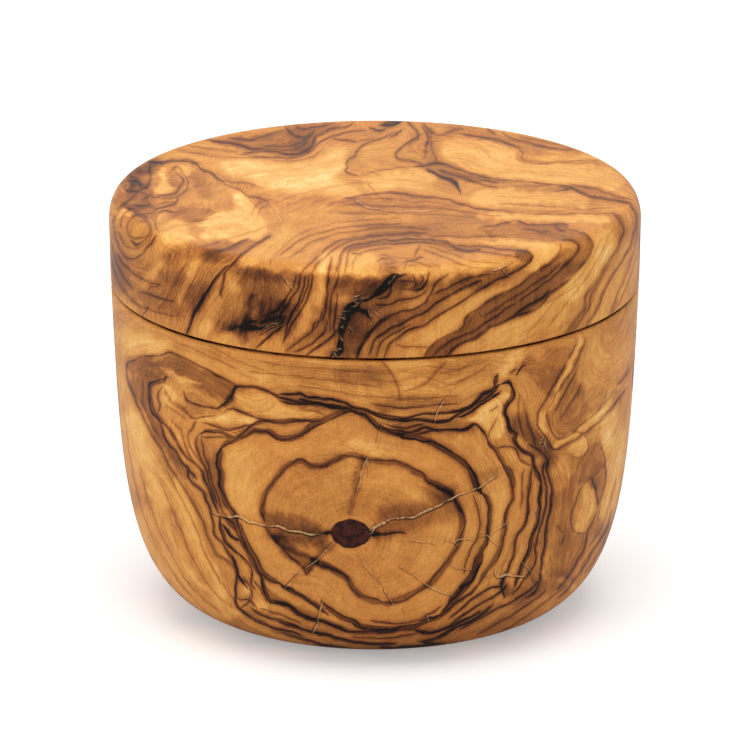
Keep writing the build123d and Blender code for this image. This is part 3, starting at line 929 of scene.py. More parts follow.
    (2.2, 0.56, [(414,166), (424,165), (435,162), (445,164), (455,168), (465,171), (475,174), (485,177),
        (500,179)], 42),
    (2.0, 0.52, [(500,179), (510,180), (520,181), (530,182), (540,183), (550,184), (558,185), (568,186)], 41),
    (3.0, 0.72, [(427,170), (434,173), (442,177), (450,180), (455,184), (458,189), (460,192)], 40),
    (2.2, 0.52, [(440,170), (450,174), (462,178), (472,181), (480,184), (490,187), (497,188)]),
    (1.6, 0.44, [(455,173), (468,177), (482,180), (496,183)]),
    (3.4, 0.6, [(451,180), (456,184), (459,190)]),
    # north east
    (2.0, 0.48, [(503,133), (513,139), (522,141), (530,143), (540,146), (550,148), (562,149), (574,150)], 50),
    (2.4, 0.48, [(462,134), (476,137), (490,138), (505,142), (518,148)]),
    (4.0, 0.64, [(488,130), (494,133)]),
    (1.4, 0.4, [(518,147), (519,151), (523,153), (521,158), (524,161), (533,163), (545,163), (560,162),
        (580,161), (600,160)], 47),
    (1.6, 0.4, [(520,136), (540,141), (560,145), (580,152)], 52),
    # east
    (2.4, 0.52, [(560,186), (568,186), (575,190), (582,193), (592,197), (605,199), (618,201), (630,204)], 37),
    (1.6, 0.44, [(572,184), (585,187), (600,190), (615,196), (630,200)], 38),
    (1.6, 0.4, [(556,192), (564,190), (572,188), (580,190)]),
    (1.6, 0.36, [(500,204), (520,204), (545,206), (562,207), (580,209), (600,211)], 33),
    (1.4, 0.32, [(510,212), (535,211), (560,211), (590,209), (612,208)], 31),
    # south arc
    (1.8, 0.44, [(280,255), (290,247), (300,240), (320,233), (340,228), (365,225), (400,224)], 24),
    (1.6, 0.4, [(290,258), (300,250), (310,243), (330,235), (350,232), (375,228), (400,227), (430,229)], 22),
    (2.4, 0.52, [(300,274), (305,268), (315,260), (325,250), (335,243), (350,239), (370,236), (395,234),
        (425,233)], 20),
    (2.0, 0.48, [(311,274), (316,266), (322,260), (333,250), (342,245), (355,240), (385,236), (420,236)], 19),
    (3.0, 0.6, [(336,272), (338,264), (340,258), (345,250), (352,246), (365,243), (380,241), (400,240),
        (420,240), (440,241), (450,245), (460,250), (480,250)], 17),
    (2.2, 0.52, [(345,272), (347,258), (350,250), (360,247), (380,244), (400,243), (425,243), (440,245),
        (460,249)], 16),
    (1.3, 0.32, [(270,262), (285,245), (305,232), (330,224), (360,220), (400,218)], 26),
    (1.2, 0.4, [(352,272), (353,262), (358,254), (370,250), (390,248)], 14),
    (1.4, 0.4, [(424,250), (436,254), (450,260), (462,265), (480,268)], 12),
    (1.2, 0.4, [(430,247), (446,252), (462,258), (480,262), (500,263)], 13),
    # brown wave
    (1.4, 0.36, [(345,204), (365,205), (385,207), (410,207), (440,208), (470,213), (500,216)], 27),
    (1.2, 0.32, [(330,212), (360,213), (390,214), (420,214), (450,216), (480,219)], 25),
    (1.2, 0.28, [(330,204), (350,200), (380,198), (410,201), (440,203)], 28),
    # dash
    (2.6, 0.56, [(353,253), (360,254)]),
    (3.2, 0.46, [(420,247), (417,251), (415,255)]),
    (2.4, 0.56, [(406,261), (411,260), (417,259), (422,257)]),
    (1.6, 0.46, [(404,270), (405,266), (408,262)]),
    (2.2, 0.46, [(378,261), (382,259), (387,259)]),
    (1.5, 0.34, [(414,261), (422,264), (431,267)]),
    # north
    (6.0, 0.95, [(382,125), (390,124), (400,122)]),
    (3.2, 0.64, [(370,128), (378,131), (386,129)]),
    (3.4, 0.64, [(391,137), (396,134), (401,131)]),
    (2.4, 0.56, [(333,139), (341,140), (348,141), (356,142)]),
    (1.8, 0.4, [(359,141), (367,140), (376,139)]),
    (2.0, 0.52, [(392,133), (384,138), (375,141), (364,145), (358,150), (355,156), (350,158), (347,163),
        (348,168), (345,171), (350,174), (357,176)]),
    (1.6, 0.4, [(367,181), (369,186), (375,191)]),
    (1.4, 0.32, [(360,175), (372,172), (385,170), (398,168), (412,166)]),
    (1.4, 0.28, [(240,176), (262,172), (285,170), (310,166), (335,160)], 44),
    # middle faint
    (1.4, 0.28, [(276,202), (300,194), (325,188), (350,184), (372,182)], 35),
    (1.2, 0.24, [(282,214), (305,206), (330,198), (352,192), (370,190)], 33),
    # whirl
    (1.6, 0.4, [(252,214), (256,206), (263,201), (272,200)]),
    (1.4, 0.36, [(258,216), (262,208), (270,204)]),
    # west field
    (1.2, 0.28, [(160,232), (176,226), (194,222), (212,219), (232,214)], 50),
    (1.4, 0.32, [(206,246), (222,240), (238,236), (254,231), (268,226)], 46),
    # burl
    (1.8, 0.5, [(151,197), (156,197), (161,197)]),
    (2.0, 0.58, [(137,192), (134,196), (131,199), (127,202), (122,205), (118,208)]),
    (2.2, 0.5, [(125,208), (128,209), (131,209)]),
    (2.6, 0.62, [(135,213), (138,212)]),
    (1.8, 0.46, [(163,198), (170,198), (178,196), (184,192), (188,186), (188,181), (185,177), (182,173),
        (181,169)]),
    (3.6, 0.52, [(173,169), (177,167), (181,169)]),
    (2.0, 0.42, [(157,215), (155,221), (156,227), (159,231)]),
    (1.6, 0.45, [(143,215), (149,214), (154,213), (157,211)]),
    (1.6, 0.42, [(158,204), (165,203), (171,202), (177,201)]),
    # eye ring
    (1.8, 0.42, [(134,217), (129,222), (127,228), (128,234), (131,238)]),
    (2.2, 0.46, [(149,224), (150,230), (148,236), (144,241), (140,244), (136,246)]),
    # bark
    (2.2, 0.9, [(392,279), (398,277), (404,275)]),
    (6.4, 1.0, [(341,337), (341,344), (340,350), (338,356)]),
    (5.0, 0.9, [(338,353), (333,353), (330,357)]),
    # smudge
    (3.0, 0.8, [(243,323), (250,322), (256,321)]),
    (2.2, 0.7, [(262,334), (268,331), (275,328), (281,324), (285,319)]),
    # bark stem east
    (3.0, 0.7, [(351,311), (349,317), (346,324), (345,330)]),
    # dash
    (1.2, 0.34, [(399,267), (402,264), (406,262)]),
    (1.4, 0.34, [(393,257), (402,258), (411,258), (418,256)]),
    (1.6, 0.36, [(380,263), (381,267), (380,271)]),
    (2.0, 0.38, [(389,268), (394,268), (397,270)]),
    (1.4, 0.3, [(378,256), (384,255), (389,257), (394,261)]),
    (1.2, 0.3, [(386,264), (391,264), (396,262)]),
    (1.2, 0.28, [(409,266), (412,264), (416,267)]),
]

lidPatches = [
    # north west mass
    (6, 6, -0.09, [(294,130), (306,136), (300,146)]),
    # burl
    (11, 8, -0.12, [(134,180), (140,194), (142,206)]),
    (5, 5, -0.16, [(120,200), (124,188), (134,176), (150,166)]),
    (3, 3, 0.12, [(178,168), (188,172)]),
    # brown north
    (6, 5, -0.08, [(198,176), (202,186), (206,194)]),
    # cream spur
    (3, 4, 0.1, [(228,188), (240,196)]),
    # edge
    (6, 6, -0.12, [(182,248), (196,252), (212,254)]),
    (3, 5, -0.08, [(204,251), (214,254), (221,256)]),
    # gold
    (6, 6, 0.03, [(210,160), (240,164), (260,168)]),
    (6, 8, 0.12, [(372,186), (400,178), (424,181)]),
    (7, 6, 0.02, [(370,152), (384,146), (398,140)]),
    # rear knot
    (9, 7, 0.02, [(372,162), (384,160)]),
    # brown
    (5, 4, -0.08, [(452,130), (480,134), (508,142), (540,148)]),
    (6, 4, -0.05, [(428,136), (430,148), (434,158)]),
    (3, 4, -0.1, [(520,188), (548,190), (566,190)]),
    # gold east middle
    (6, 6, 0.12, [(480,198), (520,196), (556,197), (580,203)]),
    (3, 3, 0.12, [(480,217), (520,217), (560,218), (604,219)]),
    # brown plain
    (10, 10, -0.05, [(290,218), (340,212), (390,222), (440,224), (480,222)]),
    (4, 4, -0.06, [(370,232), (410,231), (450,234), (490,233)]),
    # gold
    (6, 5, 0.06, [(470,260), (495,260), (512,262)]),
    (8, 7, 0.12, [(330,262), (350,262), (372,264)]),
    (8, 8, 0.1, [(250,256), (272,246), (288,236)]),
    # vee tip
    (3, 3, -0.16, [(520,254), (527,257)]),
    # gold east fall
    (7, 7, 0.13, [(607,240), (600,256), (588,272), (572,292)]),
    # side
    (9, 9, -0.15, [(172,262), (174,276)]),
    (8, 8, -0.06, [(150,292), (170,298)]),
    (10, 8, -0.05, [(156,316), (172,320)]),
    (3, 6, 0.13, [(162,264), (152,276), (147,286)]),
    (3, 6, 0.11, [(200,264), (190,284), (180,304)]),
    (4, 5, 0.1, [(218,296), (210,314), (204,328)]),
    (5, 8, -0.1, [(206,266), (198,286), (192,306)]),
    (13, 9, -0.19, [(254,284), (272,292), (268,304)]),
    # painted shade just below the shoulder, on the west
    (4, 5, -0.07, [(240,270), (268,275), (294,278)]),
    (5, 6, 0.06, [(236,288), (234,302)]),
    (5, 6, 0.1, [(222,340), (240,346)]),
    # smudge
    (7, 9, -0.15, [(240,326), (266,323), (284,312)]),
    (3, 6, -0.12, [(218,328), (238,328)]),
    (1.6, 4, -0.18, [(253,296), (250,304), (247,314), (245,326), (244,336), (242,343)]),
    # cascade shade
    (7, 6, -0.1, [(306,280), (300,296), (290,314), (286,332)]),
    # basin shade
    (5, 6, -0.1, [(292,348), (308,342), (322,332), (330,318)]),
    # stripe glow
    (2.0, 2.5, 0.09, [(324,256), (322,272), (321,288), (319,304)]),
    # basin glow
    (5, 4, 0.12, [(306,308), (305,320), (300,330)]),
    # stripe shade
    (4, 5, -0.14, [(332,270), (332,290), (330,310)]),
    # bark smoke
    (10, 9, -0.17, [(392,284), (372,300), (352,312), (346,334), (342,350)]),
    (9, 8, -0.12, [(360,318), (356,336), (352,350)]),
    # inner brown
    (8, 8, -0.09, [(350,284), (366,288), (384,276)]),
    # swirl
    (6, 6, -0.07, [(408,280), (420,284)]),
    (4, 4, 0.08, [(408,293), (422,300), (412,304)]),
    # flow shade
    (9, 8, -0.1, [(388,322), (374,336), (366,352)]),
    (4, 4, -0.1, [(400,320), (424,308), (446,294)]),
    # painted shade: edge dusk, the top of the lid's side darker just below the shoulder
    (6, 5, -0.13, [(456,284), (474,283), (500,279), (524,270)]),
    (4, 4, -0.08, [(450,290), (474,282)]),
    # gold
    (7, 5, 0.03, [(424,334), (440,326), (456,318)]),
    (9, 7, 0.07, [(500,340), (530,326), (556,312), (576,296)]),
    # side
    # painted shade: the lid's side darker than its top, where less light falls
    (16, 8, -0.1, [(126,272), (150,286), (190,300), (240,312), (300,320), (350,322), (400,316), (430,300)]),
    (6, 5, 0.05, [(450,262), (480,262), (510,262)]),
    # painted shade at the top of the lid's side, and a painted highlight along the shoulder
    (7, 6, -0.15, [(344,287), (360,288), (372,285)]),
    (4, 4, -0.04, [(402,286), (420,285), (440,284)]),
    # painted highlight: a paler band along the lid's shoulder
    (3, 3, 0.08, [(300,268), (340,273), (380,275), (420,274), (460,271), (500,264)]),
    # side west brown
    (16, 10, -0.05, [(200,290), (222,306), (240,330)]),
    # gold
    (9, 10, 0.08, [(284,212), (310,216), (340,224)]),
    (8, 8, 0.08, [(632,250), (624,280), (612,305), (602,322)]),
    # painted shade: a darker band along the lid's side just below the shoulder
    (5, 4, -0.08, [(236,270), (262,275), (300,279), (340,281), (380,282), (420,280), (450,279), (480,276),
        (505,272)]),
    # burl
    (5, 5, -0.1, [(140,169), (150,167), (158,166)]),
    (3, 2.5, 0.12, [(121,214), (127,212)]),
    (2.5, 2.5, 0.12, [(122,188), (126,186)]),
    (3, 3, 0.08, [(160,219), (164,216)]),
    (4, 4, -0.07, [(170,175), (172,182)]),
    # east stem
    (1.2, 3, -0.12, [(262,301), (262,318)]),
    # burl smear
    (3, 3, -0.1, [(134,207), (148,206)]),
    (2.5, 2.5, -0.1, [(124,208), (131,207)]),
    (3, 3, -0.1, [(132,186), (142,188)]),
    # edge
    (9, 8, -0.08, [(114,240), (116,262), (120,284)]),
    (8, 8, 0.05, [(610,250), (600,280)]),
    # dry
    (5, 5, -0.05, [(380,258), (390,262), (394,268)]),
    (3, 3, 0.08, [(400,270), (412,269), (424,270)]),
]

lidFields = [
    # north west
    (-0.12, 2.0, [(210,142), (230,138), (262,134), (290,127), (322,124), (345,124), (330,130), (318,138),
        (312,150), (300,156), (278,155), (262,150), (244,150), (228,146)]),
    # cream north
    (0.19, 6, [(222,163), (240,160), (265,162), (300,163), (322,156), (340,148), (347,158), (344,170),
        (334,178), (352,184), (362,194), (340,197), (318,192), (298,196), (282,190), (262,188), (250,180),
        (232,176), (222,170)]),
    # gold
    (0.18, 3, [(233,196), (245,194), (252,203), (258,212), (266,220), (268,230), (262,238), (248,240),
        (225,241), (200,238), (205,230), (198,224), (212,216), (222,212), (234,210)]),
    (0.13, 4, [(160,225), (175,219), (186,224), (190,233), (197,238), (190,245), (176,246), (165,244),
        (158,236)]),
    # brown
    (-0.12, 1.5, [(178,207), (198,208), (214,211), (205,220), (186,222), (172,218)]),
    (-0.09, 1.5, [(204,250), (222,243), (244,240), (260,241), (248,248), (236,256), (228,263), (214,263),
        (204,257)]),
    # burl yellow
    (0.16, 1.2, [(159,172), (163,168), (168,171), (165,178), (166,183), (173,188), (174,191), (166,193),
        (154,194), (153,190), (158,186), (160,180)]),
    # point
    (-0.12, 1.2, [(416,166), (426,165), (438,163), (454,168), (472,174), (490,178), (510,180), (494,184),
        (474,182), (458,182), (460,192), (452,184), (440,177), (428,171)]),
    # spine field
    (-0.03, 1.5, [(420,124), (432,130), (444,126), (440,138), (436,150), (444,162), (434,164), (420,164),
        (426,150), (428,138)]),
    # gold east
    (0.11, 1.5, [(445,140), (470,139), (505,144), (519,150), (516,158), (524,163), (545,164), (580,164),
        (600,165), (615,172), (625,184), (610,190), (590,184), (560,184), (520,181), (490,176), (462,168),
        (448,160), (442,150)]),
    (0.1, 1.0, [(533,155), (560,156), (594,155), (604,159), (570,161), (540,160)]),
    # east band
    (-0.07, 1.0, [(560,187), (576,184), (594,189), (614,195), (630,201), (632,206), (612,202), (592,199),
        (576,192)]),
    # brown plain
    (-0.06, 1.2, [(345,199), (370,194), (400,193), (430,198), (450,201), (466,207), (440,210), (400,212),
        (365,210), (352,206)]),
    # cream vee
    (0.13, 1.2, [(472,242), (505,240), (530,242), (548,244), (560,246), (553,258), (540,268), (530,272),
        (522,268), (530,262), (533,254), (526,250), (505,246)]),
    # sash
    (-0.12, 1.4, [(484,231), (497,226), (508,222), (518,221), (528,225), (545,225), (560,224), (567,224),
        (567,231), (577,231), (587,236), (592,244), (590,254), (584,263), (575,273), (564,284), (552,292),
        (542,303), (530,312), (516,318), (503,323), (491,327), (484,333), (470,340), (456,349), (447,357),
        (424,358), (430,348), (440,341), (454,333), (463,326), (466,318), (478,310), (492,299), (508,291),
        (524,281), (540,270), (554,260), (564,250), (574,248), (577,243), (570,240), (552,241), (532,240),
        (510,237), (490,236)]),
    # inner vee
    (-0.05, 1.5, [(440,246), (470,247), (500,250), (526,253), (531,258), (524,266), (512,271), (500,268),
        (480,262), (456,254)]),
    # long line band
    (-0.06, 1.2, [(614,214), (622,220), (625,230), (621,243), (613,256), (604,270), (596,283), (589,296),
        (586,308), (578,321), (568,336), (574,336), (584,326), (592,310), (596,296), (603,282), (612,268),
        (620,254), (627,240), (629,226), (624,214)]),
    # stripe west
    (0.03, 1.2, [(534,266), (540,268), (524,279), (508,289), (492,297), (478,308), (466,316), (462,325),
        (450,333), (438,340), (425,345), (418,338), (432,326), (446,314), (460,304), (478,293), (500,281),
        (518,271)]),
    # sash side
    (-0.13, 5, [(586,262), (575,273), (564,284), (552,292), (542,303), (530,312), (516,318), (503,323),
        (491,327), (484,333), (470,340), (456,349), (447,357), (424,358), (430,348), (440,341), (454,333),
        (463,326), (466,318), (478,310), (492,299), (508,291), (524,281), (540,270), (556,262)]),
]

lidCracks = [
    # bark fleck
    (3.4, 0.8, [(355,297), (359,295)]),
    (2.6, 0.55, [(363,299), (367,298)]),
    (3.4, 0.95, [(335,354), (337,356)]),
    (2.8, 0.9, [(338,348), (340,348)]),
    (2.4, 0.7, [(341,338), (343,340)]),
    (2.4, 0.5, [(343,313), (348,311)]),
    (3.4, 0.5, [(388,284), (391,280), (394,277)]),
    (3.0, 0.4, [(354,301), (357,304), (354,306)]),
    (2.0, 0.5, [(333,333), (336,331)]),
    # nick
    (3.0, 0.95, [(494,270), (499,268), (504,266)]),
    (1.6, 0.7, [(502,267), (508,264), (512,262)]),
    (1.6, 0.7, [(502,268), (505,272), (509,276)]),
    (2.2, 0.85, [(142,315), (144,310), (147,306)]),
    (1.6, 0.7, [(146,312), (148,308)]),
    # scrape top
    (1.4, 0.6, [(355,200), (365,206), (375,209), (391,211), (410,211), (440,210)]),
    # speck
    (1.6, 0.6, [(343,324), (346,322)]),
    (1.8, 0.6, [(324,322), (326,326)]),
    (1.8, 0.5, [(189,262), (191,268)]),
    (1.6, 0.5, [(415,309), (417,311)]),
    # feather
    (1.6, 0.5, [(262,329), (270,325), (278,323)]),
    (1.4, 0.45, [(264,334), (271,331), (278,327)]),
    (1.6, 0.5, [(281,274), (287,282), (294,291)]),
    # dry edge
    (1.6, 0.3, [(385,268), (387,264), (391,262)]),
    (1.6, 0.3, [(396,266), (400,268), (404,273)]),
    # crease east
    (1.4, 0.55, [(480,312), (484,316)]),
    # rub
    (1.4, 0.4, [(372,309), (378,314), (382,318)]),
    (1.4, 0.4, [(376,306), (381,312), (386,314)]),
    (1.4, 0.4, [(368,312), (372,318), (374,322)]),
    # bark fleck
    (2.2, 0.6, [(341,318), (345,320), (347,322)]),
    (2.0, 0.5, [(348,325), (351,330)]),
    (2.0, 0.6, [(338,326), (342,328)]),
]

lidGuides = [
    # bark
    (4, [(380,288), (366,300), (352,306), (343,325), (340,345)]),
    (10, [(350,268), (370,262), (395,256), (420,262)]),
    (13, [(343,290), (340,304), (339,320), (336,340)]),
    # basin
    (22, [(312,292), (308,308), (300,324), (290,340)]),
    # west slope
    (34, [(262,262), (252,280), (246,300), (238,318), (232,336)]),
    (50, [(178,256), (166,276), (152,296)]),
    # eye
    (66, [(139,229)]),
    (60, [(127,229), (139,218), (151,229), (139,240)]),
    # burl
    (74, [(138,188), (136,200)]),
    (67, [(160,178), (156,196), (120,196)]),
    (72, [(168,178), (168,188)]),
    # west field
    (54, [(166,222), (180,214), (196,208)]),
    (52, [(210,200), (226,194)]),
    # heart field
    (47, [(214,230), (236,224), (256,218)]),
    # middle field
    (30, [(280,226), (306,216), (330,208)]),
    (38, [(262,194), (290,188), (320,180), (346,176)]),
    # north field
    (52, [(230,172), (256,166), (284,164)]),
    (50, [(300,160), (330,155), (344,150)]),
    # top field
    (40, [(380,180), (400,178), (424,182)]),
    # east field
    (35, [(480,196), (530,198), (560,200)]),
    (45, [(450,150), (490,156), (540,168), (590,176)]),
    # north
    (53, [(450,128), (480,128), (520,134)]),
    (54, [(380,122), (430,122)]),
]


# spreading the figure over a turned piece, as attributes of its mesh

figure = {
    "wobbleSize": 0.4,        # pixels, how far a vein strays from the line read off the photo
    "wobbleLengths": (37.0, 17.0),
    "patchWobble": 1.4,
    "fieldWobble": 0.9,
    "patchLengths": (31.0, 14.0, 7.0),
    "endTaper": 7.0,          # pixels over which a vein's end thins
    "endWidth": 0.35,         # share of its width that is left at the end
    "ringGap": 0.5,           # pixels: a vein whose ends are closer is a ring
    "reach": 16.0,            # pixels, as far as a vein is looked for
    "patchCore": 0.4,         # share of the soft width that lies inside a patch
    "channels": 5,
    "faintness": 1.35,
    "paintedSeamShade": 0.28,         # painted shade: how much darker the two edges in the seam between lid and bowl are
    "farAway": 60.0,
    "facingStart": 0.03,
    "facingFull": 0.14,
}
waves = {
    "shrink": 0.6,
    "turn": 37,               # degrees
    "turnStep": 71,
    "swings": (1.3, 1.7),
    "paces": (0.7, 0.6),
}
growthFit = {
    "smoothing": 0.6,
    "softness": 4.0,          # square millimetres
    "planeSize": 20.0,
    "batch": 4000,
    "knotRings": (0.4, 0.75, 1.0),
    "knotSpots": 8,
}
shownPart = {
    # millimetres
    "seamRoom": 0.05,
    "wellRadius": 34.5,
    "belowWell": 9.0,
    # bands of height and radius where the painted seam shade lies, on the bowl and on the lid
    "bowlSeamShade": ((60.18, 60.4), (46.7, 46.9)),
    "lidSeamShade": ((60.72, 60.92), (47.2, 47.3)),
}


def smoothStep(values, low, high):
    share = np.clip((values - low) / (high - low), 0, 1)
    return share * share * (3 - 2 * share)


def wobble(spots, sway, lengths):
    # the same small wave for every vein, so that neighbours keep their distance
    moved = spots.copy()
    swings, paces = waves["swings"], waves["paces"]
    for order, length in enumerate(lengths):
        size = sway / (1 + waves["shrink"] * order)
        turned = radians(waves["turn"] + waves["turnStep"] * order)
        along = (spots[:, 0] * cos(turned) + spots[:, 1] * sin(turned)) * 2 * pi / length
        across = (spots[:, 1] * cos(turned) - spots[:, 0] * sin(turned)) * 2 * pi / length
        moved[:, 0] += size * np.sin(along + swings[0] * np.sin(across * paces[0]) + order)
        moved[:, 1] += size * np.sin(across + swings[1] * np.sin(along * paces[1]) + 2 * order)
    return moved


def rounded(points):
    # a point between each two, on a smooth curve through them all
    points = np.array(points, float)
    if len(points) < 3:
        return points
    padded = np.vstack([2 * points[0] - points[1], points, 2 * points[-1] - points[-2]])
    between = (9 * (padded[1:-2] + padded[2:-1]) - padded[:-3] - padded[3:]) / 16
    joined = np.empty((2 * len(points) - 1, 2))
    joined[0::2] = points
    joined[1::2] = between
    return joined


def measure(spots, points, width):
    # signed distance of each spot to a vein, unsigned distance, and the vein's half width there
    line = rounded(points)
    start, along = line[:-1], np.diff(line, axis=0)
    length = np.hypot(along[:, 0], along[:, 1])
    travelled = np.concatenate([[0], np.cumsum(length)])
    closed = np.hypot(*(line[0] - line[-1])) < figure["ringGap"]
    fromEnd = np.minimum(travelled, travelled[-1] - travelled) / figure["endTaper"]
    end = figure["endWidth"]
    half = width / 2 * (np.ones(len(line)) if closed else end + (1 - end) * np.clip(fromEnd, 0, 1))
    away = spots[:, None, :] - start[None]
    share = np.clip((away * along).sum(2) / length**2, 0, 1)
    gap = away - share[..., None] * along
    distance = np.hypot(gap[..., 0], gap[..., 1])
    reach = half[:-1] + share * np.diff(half)
    pick = np.argmin(distance - reach, axis=1)
    rows = np.arange(len(spots))
    gap, along = gap[rows, pick], along[pick]
    side = np.where(along[:, 0] * gap[:, 1] - along[:, 1] * gap[:, 0] < 0, -1, 1)
    return side * distance[rows, pick], distance[rows, pick], reach[rows, pick]


def nearBox(spots, points, room):
    # the rows of the spots that lie within that room of the points' box
    low, high = np.min(points, axis=0) - room, np.max(points, axis=0) + room
    return np.nonzero(((spots > low) & (spots < high)).all(axis=1))[0]


def sortChannels(veins, count):
    # puts each vein in the channel whose veins lie furthest from it
    channels = [[] for _ in range(count)]
    for vein in veins:
        points = rounded(vein[2])
        room = []
        for placed in channels:
            gaps = [np.hypot(*(points[:, None] - other[None]).T).min() for _, other in placed]
            room.append(min(gaps, default=np.inf))
        channels[np.argmax(room)].append((vein, points))
    return [[vein for vein, _ in placed] for placed in channels]


def drawVeins(spots, veins, channels):
    # for each channel: side distance, plain distance and half width, and darkness
    count = len(spots)
    drawn = []
    for placed in sortChannels(veins, channels):
        lines = np.full((count, 3), figure["farAway"])
        lines[:, 2] = 0
        dark = np.zeros(count)
        best = np.full(count, figure["farAway"])
        for width, darkness, points, *_ in placed:
            near = nearBox(spots, points, figure["reach"] + width)
            if len(near) == 0:
                continue
            signed, plain, half = measure(spots[near], points, width)
            closer = plain - half < best[near]
            rows = near[closer]
            best[rows] = (plain - half)[closer]
            lines[rows] = np.stack([signed, plain, half], axis=1)[closer]
            dark[rows] = darkness
        drawn.append((lines, dark))
    return drawn


def inside(spots, outline):
    # how deep each spot lies inside a closed outline, in pixels, below 0 outside
    line = rounded(outline + outline[:1])
    _, plain, _ = measure(spots, line, 0)
    crossings = np.zeros(len(spots), int)
    for (x0, y0), (x1, y1) in zip(line, line[1:]):
        spans = (y0 > spots[:, 1]) != (y1 > spots[:, 1])
        if y0 == y1:
            continue
        reach = x0 + (spots[:, 1] - y0) * (x1 - x0) / (y1 - y0)
        crossings += spans & (spots[:, 0] < reach)
    return np.where(crossings % 2 == 1, plain, -plain)


def drawPatches(spots, patches, fieldSpots, fields):
    tone = np.zeros(len(spots))
    for lift, soft, outline in fields:
        near = nearBox(fieldSpots, outline, 3 * soft)
        if len(near):
            tone[near] += lift * smoothStep(inside(fieldSpots[near], outline), -soft, soft)
    for half, soft, lift, points in patches:
        near = nearBox(spots, points, half + soft + 2)
        if len(near) == 0:
            continue
        _, plain, _ = measure(spots[near], points if len(points) > 1 else points * 2, 0)
        tone[near] += lift * (1 - smoothStep(plain, half - soft * figure["patchCore"], half + soft))
    return tone


def growthField(places, anchors, levels):
    # a smooth field through the anchors: radial functions of distance, and a plane
    def kernel(here):
        apart = (here**2).sum(axis=1)[:, None] + (anchors**2).sum(axis=1) - 2 * here @ anchors.T
        bowls = np.sqrt(np.maximum(apart, 0) + growthFit["softness"])
        return np.hstack([bowls, np.ones((len(here), 1)), here / growthFit["planeSize"]])

    table = kernel(anchors)
    keep = np.eye(table.shape[1])[: len(anchors)] * growthFit["smoothing"]
    wanted = np.concatenate([levels, np.zeros(len(anchors))])
    weights = np.linalg.lstsq(np.vstack([table, keep]), wanted, rcond=None)[0]
    parts = np.array_split(places, 1 + len(places) // growthFit["batch"])
    return np.concatenate([kernel(part) @ weights for part in parts])


def knotAnchors(knots, out):
    # rings of places round each knot at the back, and their growth levels
    anchors, levels = [], []
    for bearing, height, core, slope, reach in knots:
        centre = np.array([sin(radians(bearing)), -cos(radians(bearing)), 0])
        across = np.array([cos(radians(bearing)), sin(radians(bearing)), 0])
        anchors.append(centre * out + (0, 0, height))
        levels.append(core)
        for ring in growthFit["knotRings"]:
            for step in range(growthFit["knotSpots"]):
                turned = 2 * pi * step / growthFit["knotSpots"]
                beside, above = reach * ring * cos(turned), reach * ring * sin(turned)
                anchors.append(centre * out + across * beside + (0, 0, height + above))
                levels.append(core + slope * reach * ring)
    return anchors, levels


def vectors(mesh, name):
    values = np.empty(len(mesh.vertices) * 3, np.float32)
    mesh.vertices.foreach_get(name, values)
    return values.reshape(-1, 3).astype(float)


